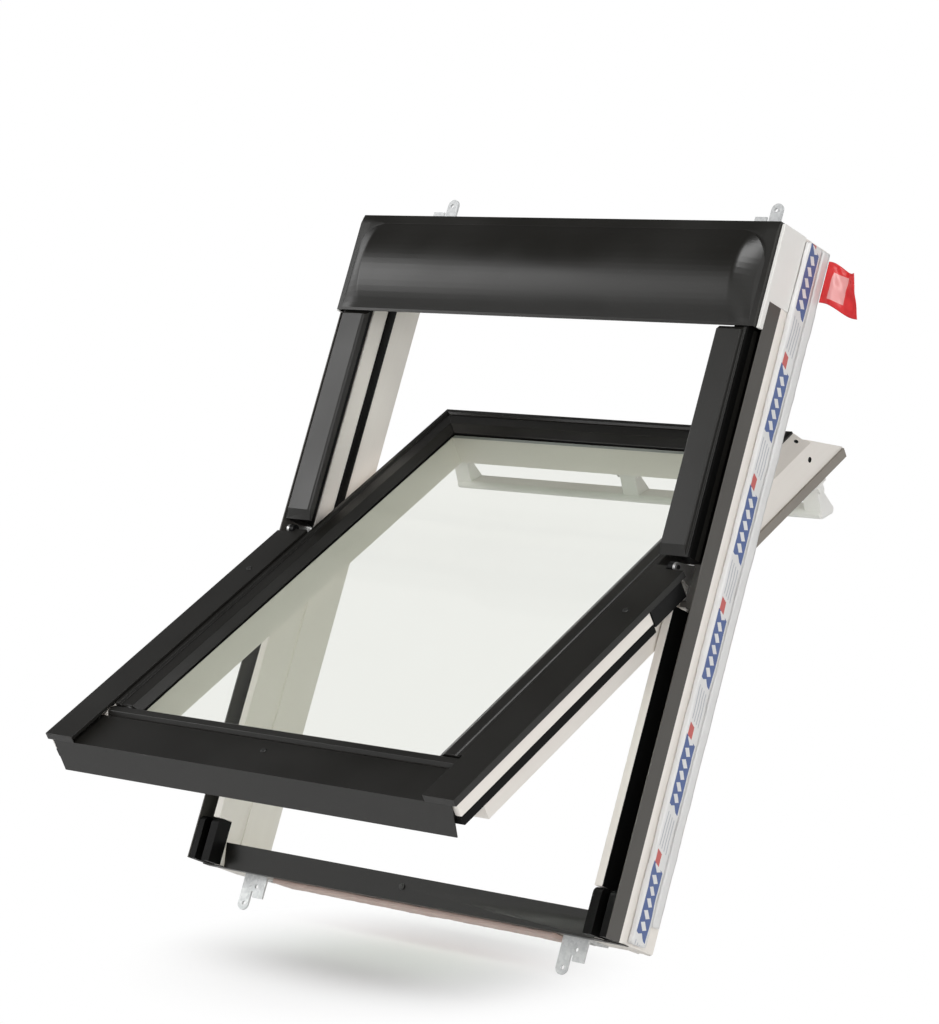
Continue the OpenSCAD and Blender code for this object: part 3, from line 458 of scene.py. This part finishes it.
def softened(node, width, steps, material, shape=None):
    """A copy of a CAD node with its long edges rounded; it stands for that node."""
    def build(bm):
        bm.from_mesh(NODES[node].data)
        bmesh.ops.remove_doubles(bm, verts=bm.verts, dist=WELD)
        bmesh.ops.dissolve_limit(bm, angle_limit=FLAT, verts=bm.verts, edges=bm.edges)
        shortest = 4 * width
        edges = [e for e in bm.edges if len(e.link_faces) == 2 and e.calc_length() > shortest
                 and abs(e.calc_face_angle(0)) > FOLD]
        if width > 0:
            round_edges(bm, edges, width, steps)
        if shape:
            shape(bm)

    obj = piece("soft_" + node, build, BODY_OF[node], material)
    even_shading(obj)
    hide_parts(node)


def paint(node, material):
    """Gives a CAD node that stays as it is its finish."""
    slots = NODES[node].data.materials
    slots.clear()
    slots.append(material)


def settings(context):
    scene = context.scene
    return scene.window_finishes, scene.window_sizes, scene.window_stage


class DressTimber(bpy.types.Operator):
    """Rounds the timber's edges and lacquers it white, with the grain along each piece, and paints shade on the
    stiles' crests at the pivot and inside their bores
    """

    bl_idname = "roof_window.dress_timber"
    bl_label = "Timber"

    # The stile's crest gets painted shade along this stretch from the pivot, down to this depth under it.
    dark_low, dark_high, dark_depth = -0.020, 0.060, -0.022
    # The bores near the upper end of a stile, which get painted shade inside: place from the pivot, and radius.
    shaded_bores = ((Vector((0.3400, 0.3292, -0.0410)), 0.0056),
             (Vector((0.3296, 0.3282, -0.0139)), 0.0045))

    def execute(self, context):
        colours, sizes, _ = settings(context)
        lacquer = lacquer_group()
        look = dict(bump=0.035, Colour=colours.timber, Grain=0.05)
        up = finish("timber_up_frame", lacquer, PITCH, **look)
        # The spread swaps the group's long grain from up to across.
        across = finish("timber_across", lacquer, spread=(0.04, 25, 1), **look)
        sash_up = finish("timber_up_sash", lacquer, PITCH - OPEN, **look)
        # Painted shade: the crest is darkened between the covers at the pivot, where shade falls under them, and
        # the bores are darkened inside.
        second_tone_or_shade(sash_up, colours.cladding, limits=[
            ("Y", "GREATER_THAN", SASH_START.y + self.dark_low),
            ("Y", "LESS_THAN", SASH_START.y + self.dark_high),
            ("Z", "GREATER_THAN", SASH_START.z + self.dark_depth)])
        second_tone_or_shade(sash_up, colours.rubber, spots=[
            (SASH_START + place, radius) for place, radius in self.shaded_bores])
        for node, material in (("jamb_left", up), ("jamb_right", up),
                               ("frame_head", across), ("frame_sill", across),
                               ("stile_left", sash_up), ("stile_right", sash_up),
                               ("top_rail", across), ("bottom_rail", across),
                               ("wing_left", sash_up), ("wing_right", sash_up)):
            softened(node, sizes.timber_edge, sizes.edge_steps, material)
        return {"FINISHED"}


def slope_hood(bm):
    """Lets the hood's raised panel run out in sloping ends, and leans the strip over it back."""
    # Height of the plate around the panel, run and bulge of the slope, and where it is cut to bend.
    plate, reach, bulge = 0.0025, 0.036, 0.3
    shares = (0.22, 0.32, 0.45, 0.6, 0.78, 1.0)
    end = max(abs(v.co.x) for v in bm.verts if (TO_WINDOW @ v.co).z > plate + NEAR)
    for share in shares:
        for side in (-1, 1):
            cut(bm, (side * (end - reach * share), 0, 0), (1, 0, 0))
    for vert in bm.verts:
        place = TO_WINDOW @ vert.co
        run = min(max((end - abs(place.x)) / reach, 0.0), 1.0)
        if place.z > plate and run < 1:
            place.z = plate + (place.z - plate) * run * (1 + bulge - bulge * run)
            vert.co = WINDOW @ place
    # The strip's lower edge up the slope, and how far its upper edge lies back.
    strip_low, strip_fall = 0.9685, 0.003
    cut(bm, WINDOW @ Vector((0, strip_low, 0)), WINDOW.to_3x3() @ Vector((0, 1, 0)))
    for vert in bm.verts:
        place = TO_WINDOW @ vert.co
        if place.y > strip_low and place.z > -NEAR:
            place.z -= strip_fall * (place.y - strip_low) / (FRAME_H - strip_low)
            vert.co = WINDOW @ place


def ribbed_cover(node, sizes, material):
    """An upper cover with a crowned top, a small lip along its outer edge and a deep skirt."""
    low, high = window_box(node)
    side = 1 if high.x > 0 else -1
    inner, outer = sorted((abs(low.x), abs(high.x)))
    # Heights over the cover plane: the crown, the sheet's thickness and the foot of the inner fold.
    crown, sheet, fold = 0.006, 0.0015, -0.005
    # The inner bend, as distances out from the inner edge and down from the crown.
    bend = ((0.0015, 0.003), (0.004, 0))
    # The lip, as distances in from the outer edge and down from the crown.
    lip = ((0.0095, 0), (0.0085, 0.0015), (0.0080, 0.0065), (0.0055, 0.0070), (0.0050, 0.0085))
    skirt_lean = 0.002
    section = [(inner, fold), *((inner + out, crown - down) for out, down in bend),
               *((outer - way_in, crown - down) for way_in, down in lip),
               (outer, low.z), (outer - sheet, low.z), (outer - sheet - skirt_lean, -sheet),
               (inner + sheet, -sheet), (inner + sheet, fold)]
    # The cover ends this far short of the node, and its two ends slope by these lengths.
    short, low_slope, high_slope = 0.0145, 0.014, 0.006
    # Edges this long are folds, and those that bend more than this are rounded.
    fold_length, fold_bend = 0.1, math.radians(20)

    def build(bm):
        face = bm.faces.new([bm.verts.new((side * x, low.y, z)) for x, z in section])
        moved = bmesh.ops.extrude_face_region(bm, geom=[face])["geom"]
        far = [v for v in moved if isinstance(v, bmesh.types.BMVert)]
        bmesh.ops.translate(bm, verts=far, vec=(0, high.y - low.y - short, 0))
        for vert in bm.verts:
            if vert.co.z > 0:
                vert.co.y += low_slope if vert.co.y < low.y + NEAR else -high_slope
        bmesh.ops.recalc_face_normals(bm, faces=bm.faces)
        edges = [e for e in bm.edges
                 if e.calc_length() > fold_length and abs(e.calc_face_angle(0)) > fold_bend]
        round_edges(bm, edges, sizes.sheet_edge, sizes.edge_steps)

    obj = piece("ribbed_" + node, build, BODY_OF[node], material, WINDOW)
    even_shading(obj)
    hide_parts(node)


class DressCladding(bpy.types.Operator):
    """Rounds the folds of the dark cladding and coats it"""

    bl_idname = "roof_window.dress_cladding"
    bl_label = "Cladding"

    # The gutter leg's outer face, and the depth under the cover plane at which its coat ends.
    leg_face, leg_line = 0.390, 0.039

    def execute(self, context):
        colours, sizes, _ = settings(context)
        coat = coating_group()
        dark = finish("cladding_coat", coat, PITCH, Colour=colours.cladding, Dust=0.012, Gloss=0.34)
        grey = finish("gutter_coat", coat, PITCH, Colour=colours.gutter, Dust=0.05, Gloss=0.42)
        second_tone_or_shade(grey, colours.timber, limits=[
            ("X", "GREATER_THAN", self.leg_face - NEAR),
            ("Z", "LESS_THAN", SEAT_DROP - self.leg_line)])
        softened("hood", sizes.sheet_edge, sizes.edge_steps, dark, slope_hood)
        for node in ("sill_cladding", "glazing_clad_left", "glazing_clad_right",
                     "glazing_clad_top", "bottom_bead", "lower_cover_left", "lower_cover_right",
                     "bottom_cover"):
            softened(node, sizes.sheet_edge, sizes.edge_steps, dark)
        for node in ("upper_cover_left", "upper_cover_right"):
            ribbed_cover(node, sizes, dark)
        for node in ("gutter_left", "gutter_right"):
            softened(node, sizes.sheet_edge, sizes.edge_steps, grey)
        return {"FINISHED"}


class DressPlastics(bpy.types.Operator):
    """Finishes the handle, end plates, strips, packers, seals and rubber blocks"""

    bl_idname = "roof_window.dress_plastics"
    bl_label = "Plastics and rubber"

    def execute(self, context):
        colours, sizes, _ = settings(context)
        moulded = moulded_group()
        white = finish("white_plastic", moulded, Colour=colours.white_plastic, Tone=0.10,
                       Scale=700.0)
        taupe = finish("edge_strip_plastic", moulded, bump=0.04, Colour=colours.strip, Tone=0.25,
                       Scale=500.0)
        black = finish("black_rubber", moulded, bump=0.08, specular=0.12, Colour=colours.rubber,
                       Tone=0.4, Scale=420.0)
        for material, nodes in (
                (white, ("hood_end_left", "hood_end_right", "handle_bar", "handle_bearings")),
                (taupe, ("edge_strip_left", "edge_strip_right")),
                (black, ("corner_block_left", "corner_block_right", "sash_seal",
                         "frame_seal_head", "frame_seal_left", "frame_seal_right",
                         "cover_carrier_left", "cover_carrier_right"))):
            for node in nodes:
                softened(node, sizes.sheet_edge, sizes.edge_steps, material)
        paint("glazing_seal", black)
        return {"FINISHED"}


class DressMetal(bpy.types.Operator):
    """Finishes the brackets, hinges, lock, spacer and screws"""

    bl_idname = "roof_window.dress_metal"
    bl_label = "Metal"

    bracket_steps = 2

    def execute(self, context):
        colours, sizes, _ = settings(context)
        spangle = zinc_group()
        zinc = finish("bracket_zinc", spangle, PITCH, bump=0.05, metallic=0.5,
                      Colour=colours.zinc, Spangle=0.35, Scale=260.0)
        black = finish("black_hinge_coat", spangle, bump=0.03, specular=0.2,
                       Colour=colours.hinge, Spangle=0.3, Scale=700.0)
        steel = finish("bright_steel", spangle, metallic=1.0,
                       Colour=colours.steel, Spangle=0.12, Scale=900.0)
        dull = finish("dark_plating", spangle, bump=0.03, metallic=0.7,
                      Colour=colours.plating, Spangle=0.3, Scale=700.0)
        grey = finish("spacer_metal", spangle, metallic=0.6,
                      Colour=colours.spacer, Spangle=0.2, Scale=500.0)
        for corner in ("top_left", "top_right", "bottom_left", "bottom_right"):
            softened("bracket_" + corner, sizes.bracket_edge, self.bracket_steps, zinc)
        for material, nodes in (
                (steel, ("hinge_ear_left", "hinge_ear_right", "striker_plate", "lock_case",
                         "latch_bolt", "bracket_screws")),
                (dull, ("frame_screws", "sash_screws")),
                (black, ("hinge_arm_left", "hinge_arm_right")),
                (grey, ("spacer_bar",))):
            for node in nodes:
                paint(node, material)
        return {"FINISHED"}


class DressGlass(bpy.types.Operator):
    """Gives the two panes clear glass with a faint green tint"""

    bl_idname = "roof_window.dress_glass"
    bl_label = "Glass"

    # Lower than real glass, so that the hood's mirror image in it stays faint.
    index = 1.08

    def execute(self, context):
        colours, _, _ = settings(context)
        material, tree, shader = new_material("float_glass")
        where = tree_node(tree, "ShaderNodeTexCoord")
        smear = noise_value(tree, where.outputs["Object"], scale=14.0, detail=4.0)
        tint = mix_colour(tree, ramp_value(tree, smear, (0.3, 0.7), (0.0, 0.2)),
                          colours.glass, (0.940, 0.945, 0.926))
        wire_all(tree, shader.inputs, {
            "Base Color": tint, "Roughness": ramp_value(tree, smear, (0.45, 0.8), (0.0, 0.01)),
            "IOR": self.index, "Transmission Weight": 1.0})
        # Light passes straight through to what lies behind.
        clear = tree_node(tree, "ShaderNodeBsdfTransparent")
        wire(tree, (0.90, 0.93, 0.90), clear.inputs["Color"])
        passing = ray_is(tree, "Is Shadow Ray", "Is Diffuse Ray")
        blend_shaders(tree, passing, shader.outputs[0], clear.outputs[0])
        for node in ("outer_pane", "inner_pane"):
            paint(node, material)
        return {"FINISHED"}


def film_print(tree, place, colour, inks):
    """Prints generic slanted blocks of diamonds, wedges and rules on the film's colour."""
    axes = split_axes(tree, place)
    # Depth in the printed band, 0 at its outer edge and 1 at its inner edge, and the inked part.
    outer, inner = 0.010, -0.017
    band = ramp_value(tree, axes["Z"], (outer, inner), (0.0, 1.0))
    inside = between(tree, band, 0.06, 0.90)
    # Share of one repeat along the collar, which leans with the depth.
    lean, start, repeat = -0.55, 2.03, 0.172
    slant = math_node(tree, "ADD", axes["Y"], math_node(tree, "MULTIPLY", axes["Z"], lean))
    turn = math_node(tree, "FRACT", math_node(
        tree, "DIVIDE", math_node(tree, "ADD", slant, start), repeat))
    # A blue block with a row of pale diamonds along it.
    block = between(tree, turn, 0.05, 0.60)
    diamonds, row, per_length, per_depth = 11.0, 0.47, 2.5, 3.6
    cell = off_centre(tree, math_node(
        tree, "FRACT", math_node(tree, "MULTIPLY", turn, diamonds)), 0.5)
    reach = math_node(tree, "ADD", math_node(tree, "MULTIPLY", cell, per_length), math_node(
        tree, "MULTIPLY", off_centre(tree, band, row), per_depth))
    pale = math_node(tree, "LESS_THAN", reach, 1.0)
    blue = math_node(tree, "MULTIPLY", math_node(tree, "MULTIPLY", block, inside),
                     math_node(tree, "SUBTRACT", 1.0, pale))
    # A red wedge in the outer half of the band.
    red = math_node(tree, "MULTIPLY", between(tree, turn, 0.60, 0.70),
                    between(tree, band, 0.12, 0.50))
    # Fine grey-blue rules between the blocks.
    rules, rule_share, rules_from = 5.0, 0.72, 0.73
    rows = math_node(tree, "FRACT", math_node(tree, "MULTIPLY", band, rules))
    grey = math_node(tree, "MULTIPLY", math_node(tree, "GREATER_THAN", rows, rule_share), math_node(
        tree, "MULTIPLY", math_node(tree, "GREATER_THAN", turn, rules_from), inside))
    for area, strength, ink in ((blue, 0.92, inks.print_blue), (red, 0.9, inks.print_red),
                                (grey, 0.55, inks.print_grey)):
        colour = mix_colour(tree, math_node(tree, "MULTIPLY", area, strength), colour, ink)
    return colour


def film_material(name, base, inks=None):
    """Wrinkled film over foam, printed where inks are given."""
    material, tree, shader = new_material(name)
    place = own_place(tree, PITCH)
    cloud = noise_value(tree, place, scale=18.0, detail=4.0)
    shade = 0.78
    colour = mix_colour(tree, ramp_value(tree, cloud, (0.35, 0.75), (0.0, 0.35)), base,
                        [shade * c for c in base])
    if inks:
        colour = film_print(tree, place, colour, inks)
    wire_all(tree, shader.inputs, {
        "Base Color": colour, "Roughness": ramp_value(tree, cloud, (0.3, 0.7), (0.30, 0.5))})
    creases = noise_value(tree, place, scale=60.0, detail=4.0)
    relief(tree, shader, creases, strength=0.35, depth=0.002)
    return material


def foam_bar(bm, low, high, cuts, wrinkle, seed):
    """A soft bar between two corners in window coordinates, puckered by its film."""
    # Size of the cells across the bar, large wrinkles to a metre, and small ones to a large one.
    cell, wave, finer = 0.005, 22, 3.1
    # Shares of the large and small wrinkles, and the share by which the film lies lower.
    large, small, sunk = 0.6, 0.4, 0.55
    centre, size = (Vector(low) + Vector(high)) / 2, Vector(high) - Vector(low)
    bmesh.ops.create_cube(bm, size=1.0, matrix=Matrix.Translation(centre)
                          @ Matrix.Diagonal((*size, 1)))
    longest = max(range(3), key=lambda i: size[i])
    for axis in range(3):
        count = cuts if axis == longest else max(2, int(size[axis] / cell))
        edges = [e for e in bm.edges
                 if abs((e.verts[0].co - e.verts[1].co).normalized()[axis]) > 0.9]
        bmesh.ops.subdivide_edges(bm, edges=edges, cuts=count, use_grid_fill=True)
    bmesh.ops.smooth_vert(bm, verts=bm.verts, factor=0.5,
                          use_axis_x=True, use_axis_y=True, use_axis_z=True)
    bm.normal_update()
    for vert in bm.verts:
        sample = vert.co * wave + Vector((seed, 0, 0))
        lift = noise.noise(sample) * large + noise.noise(sample * finer) * small
        vert.co += vert.normal * (lift - sunk) * wrinkle
    bmesh.ops.recalc_face_normals(bm, faces=bm.faces)


class MakeCollar(bpy.types.Operator):
    """Replaces the plain collar with foam bars in puckered, printed film"""

    bl_idname = "roof_window.make_collar"
    bl_label = "Film collar"

    # Cuts along a side bar and along a head or sill bar.
    side_cuts, end_cuts = 150, 110
    # A side bar's outer layer is this deep. Its inner one starts higher up, and a gap behind it.
    layer, step, gap = 0.033, 0.029, 0.0005
    # Added to the seed, so that the layers' wrinkles differ.
    inner_seed = 7

    def side_bar(self, bm, low, high, wrinkle, seed):
        """Two layers of foam in one mesh."""
        parting = high.z - self.layer
        foam_bar(bm, (low.x, low.y, parting), high, self.side_cuts, wrinkle, seed)
        inner = bmesh.new()
        foam_bar(inner, (low.x, low.y + self.step, low.z), (high.x, high.y, parting - self.gap),
                 self.side_cuts, wrinkle, seed + self.inner_seed)
        mesh = bpy.data.meshes.new("collar_layer")
        inner.to_mesh(mesh)
        inner.free()
        bm.from_mesh(mesh)
        bpy.data.meshes.remove(mesh)

    def execute(self, context):
        colours, sizes, _ = settings(context)
        printed = film_material("printed_film", colours.film, colours)
        plain = film_material("plain_film", colours.film)
        rosy = film_material("sill_film", colours.sill_film)
        for node, material in (("collar_left", printed), ("collar_right", printed),
                               ("collar_head", plain), ("collar_sill", rosy)):
            low, high = window_box(node)
            seed = len(node)

            def build(bm):
                if material == printed:
                    self.side_bar(bm, low, high, sizes.film_wrinkle, seed)
                else:
                    foam_bar(bm, low, high, self.end_cuts, sizes.film_wrinkle, seed)

            obj = piece("film_" + node, build, BODY_OF[node], material, WINDOW)
            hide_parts(node)
        return {"FINISHED"}


def tag_material(colour, root, middle):
    """Red film with a pale plain panel amid it, placed from the tag's root and mid-height."""
    material, tree, shader = new_material("tag_film")
    place = own_place(tree, PITCH)
    axes = split_axes(tree, place)
    # The panel's distance from the root, its two half sizes and its lean.
    panel_out, half_width, half_height, lean = 0.027, 0.0125, 0.019, 0.27
    across = off_centre(tree, axes["X"], root + panel_out)
    slanted = math_node(tree, "ADD", axes["Y"], math_node(
        tree, "MULTIPLY", math_node(tree, "SUBTRACT", axes["X"], root), lean))
    up = off_centre(tree, slanted, middle)
    panel = math_node(tree, "MULTIPLY", math_node(tree, "LESS_THAN", across, half_width),
                      math_node(tree, "LESS_THAN", up, half_height))
    fade = noise_value(tree, place, scale=40.0)
    red = mix_colour(tree, ramp_value(tree, fade, (0.3, 0.75), (0.0, 0.4)), colour,
                     (0.45, 0.012, 0.014))
    wire_all(tree, shader.inputs, {
        "Base Color": mix_colour(tree, math_node(tree, "MULTIPLY", panel, 0.5), red,
                                 (0.85, 0.62, 0.6)),
        "Roughness": ramp_value(tree, fade, (0.3, 0.7), (0.25, 0.45))})
    return material


class MakeTag(bpy.types.Operator):
    """Replaces the plain pull tag with a curled film strip"""

    bl_idname = "roof_window.make_tag"
    bl_label = "Pull tag"

    # How far the tag reaches out and sags, at its lower and at its upper edge.
    reach, sag = (0.068, 0.049), (0.018, 0.0135)
    # The root's edges within the node's, the film's thickness and the cells to a side.
    root_low, root_high, film, cells = 0.016, -0.001, 0.0006, 40

    def execute(self, context):
        colours, sizes, _ = settings(context)
        low, high = window_box("pull_tag")
        root = (low.y + self.root_low, high.y + self.root_high)
        middle = (low.z + high.z) / 2

        def mid(pair, share):
            return pair[0] + (pair[1] - pair[0]) * share

        # The strip hangs from the collar along u, and w runs from its lower to its upper edge.
        def build(bm):
            bmesh.ops.create_grid(bm, x_segments=self.cells, y_segments=self.cells, size=0.5)
            for vert in bm.verts:
                u, w = vert.co.x + 0.5, vert.co.y + 0.5
                wave = math.sin(u * 6.0 + w * 1.3) * 0.55 + 0.35 * math.sin(w * 5.0 - u * 2.0)
                pucker = noise.noise(Vector((u * 4, w * 4, 1.7))) * 0.5
                held = min(1.0, u * 3.0) * 0.9
                vert.co.x = low.x + self.film + u * mid(self.reach, w)
                vert.co.y = mid(root, w) - u * mid(self.sag, w) + 0.003 * math.sin(u * 5.0 + 0.6)
                vert.co.z = middle + sizes.tag_curl * (wave + pucker) * held
            bmesh.ops.solidify(bm, geom=bm.faces, thickness=self.film)
            bmesh.ops.recalc_face_normals(bm, faces=bm.faces)

        material = tag_material(colours.tag, low.x, sum(root) / 2 - FRAME_H / 2)
        obj = piece("curled_tag", build, "frame", material, WINDOW)
        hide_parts("pull_tag")
        return {"FINISHED"}


def floor_material(strength):
    """A pale floor that glows a little and fades to plain white, so that no horizon shows. The grey disc that it
    keeps under the window is partly cast shadow and partly painted shadow.
    """
    # Middle of the shadow disc, and the distances from it between which the floor fades to plain white.
    # Within the disc the floor shows its lit colour with the window's cast shadow and stays greyer than the white
    # around it, so the disc is partly cast shadow and partly painted shadow.
    cast_and_painted_shadow_centre, fade_from, fade_to = (0.05, -0.31, 0), 0.03, 0.37
    material, tree, shader = new_material("pale_floor")
    where = tree_node(tree, "ShaderNodeTexCoord").outputs["Object"]
    tone = noise_value(tree, where, scale=2.0, detail=2.0)
    wire_all(tree, shader.inputs, {
        "Base Color": mix_colour(tree, ramp_value(tree, tone, (0.3, 0.7), (0.0, 0.06)),
                                 (0.80, 0.80, 0.80), (0.78, 0.78, 0.775)),
        "Roughness": 0.9, "Specular IOR Level": 0.1})
    glow = tree_node(tree, "ShaderNodeEmission")
    wire(tree, strength, glow.inputs["Strength"])
    both = tree_node(tree, "ShaderNodeAddShader")
    wire(tree, shader.outputs[0], both.inputs[0])
    wire(tree, glow.outputs[0], both.inputs[1])
    white = tree_node(tree, "ShaderNodeEmission")
    seen = ray_is(tree, "Is Camera Ray", "Is Transmission Ray")
    fade = ramp_value(tree, distance_to(tree, where, cast_and_painted_shadow_centre), (fade_from, fade_to), (0.0, 1.0),
                      "SMOOTHSTEP")
    blend_shaders(tree, math_node(tree, "MULTIPLY", seen, fade), both.outputs[0], white.outputs[0])
    return material


def make_floor(scene, strength):
    """A wide floor just under the window."""
    half_width, gap = 30.0, 0.003
    bm = bmesh.new()
    bmesh.ops.create_grid(bm, x_segments=2, y_segments=2, size=half_width)
    mesh = bpy.data.meshes.new("studio_floor")
    bm.to_mesh(mesh)
    bm.free()
    mesh.materials.append(floor_material(strength))
    floor = bpy.data.objects.new("studio_floor", mesh)
    floor.location = (0, 0, CAD_BOX[0][2] - gap)
    scene.collection.objects.link(floor)


def make_walls(scene, sky, zenith):
    """Bright walls, a dark ceiling, and white where the camera looks past the window."""
    # Heights on a unit sphere between which the walls turn into the ceiling.
    wall_top, ceiling = 0.30, 0.62
    world = bpy.data.worlds.new("studio")
    world.use_nodes = True
    scene.world = world
    tree = world.node_tree
    where = tree_node(tree, "ShaderNodeTexCoord")
    height = split_axes(tree, where.outputs["Generated"])["Z"]
    wall = ramp_value(tree, height, (wall_top, ceiling), (sky, zenith))
    seen = ray_is(tree, "Is Camera Ray", "Is Transmission Ray")
    wire_all(tree, tree.nodes["Background"].inputs, {
        "Color": (1, 1, 1), "Strength": ramp_value(tree, seen, (0, 1), (wall, 1.0))})


def softbox(scene, name, place, aim, size, power):
    """A rectangular light, turned to the point that it aims at."""
    lamp = bpy.data.lights.new(name, "AREA")
    lamp.shape = "RECTANGLE"
    lamp.size, lamp.size_y = size
    lamp.energy = power
    obj = bpy.data.objects.new(name, lamp)
    obj.location = place
    obj.rotation_euler = (Vector(aim) - Vector(place)).to_track_quat("-Z", "Y").to_euler()
    scene.collection.objects.link(obj)


class MakeStage(bpy.types.Operator):
    """Sets the floor, the soft studio light and the camera"""

    bl_idname = "roof_window.make_stage"
    bl_label = "Stage"

    def execute(self, context):
        _, _, stage = settings(context)
        scene = context.scene
        make_floor(scene, stage.floor_glow)
        make_walls(scene, stage.sky, stage.zenith)
        softbox(scene, "overhead_softbox", place=(0.7, -1.3, 3.0), aim=(0, -0.2, 0),
                size=(1.6, 1.6), power=stage.key_power)
        softbox(scene, "left_softbox", place=(-2.23, -1.43, 1.06), aim=(0, 0, 0.1),
                size=(1.0, 1.3), power=stage.left_power)
        softbox(scene, "right_softbox", place=(2.7, -1.6, 0.7), aim=(0.2, 0, 0),
                size=(1.4, 1.4), power=stage.right_power)
        lens = bpy.data.cameras.new("photo_camera")
        lens.sensor_width = 36.0
        lens.lens = stage.lens
        lens.clip_end = 100.0
        camera = bpy.data.objects.new("photo_camera", lens)
        camera.location = stage.camera_place
        camera.rotation_euler = stage.camera_turn
        scene.collection.objects.link(camera)
        scene.camera = camera
        scene.view_settings.view_transform = "Standard"
        return {"FINISHED"}


STEPS = (DressTimber, DressCladding, DressPlastics, DressMetal, DressGlass, MakeCollar, MakeTag,
         MakeStage)


class RoofWindowPanel(bpy.types.Panel):
    """Lists the settings and the steps that dress the roof window"""

    bl_idname = "VIEW3D_PT_roof_window"
    bl_label = "Roof window"
    bl_space_type = "VIEW_3D"
    bl_region_type = "UI"
    bl_category = "Roof window"

    def draw(self, context):
        for group in settings(context):
            column = self.layout.column()
            for name in group.__annotations__:
                column.prop(group, name)
        for step in STEPS:
            self.layout.operator(step.bl_idname)


CLASSES = (WindowFinishes, WindowSizes, StageSettings, *STEPS, RoofWindowPanel)


def register():
    for cls in CLASSES:
        bpy.utils.register_class(cls)
    bpy.types.Scene.window_finishes = PointerProperty(type=WindowFinishes)
    bpy.types.Scene.window_sizes = PointerProperty(type=WindowSizes)
    bpy.types.Scene.window_stage = PointerProperty(type=StageSettings)


def unregister():
    del bpy.types.Scene.window_stage
    del bpy.types.Scene.window_sizes
    del bpy.types.Scene.window_finishes
    for cls in reversed(CLASSES):
        bpy.utils.unregister_class(cls)


def main():
    register()
    for step in STEPS:
        category, name = step.bl_idname.split(".")
        getattr(getattr(bpy.ops, category), name)()


if __name__ == "__main__":
    main()
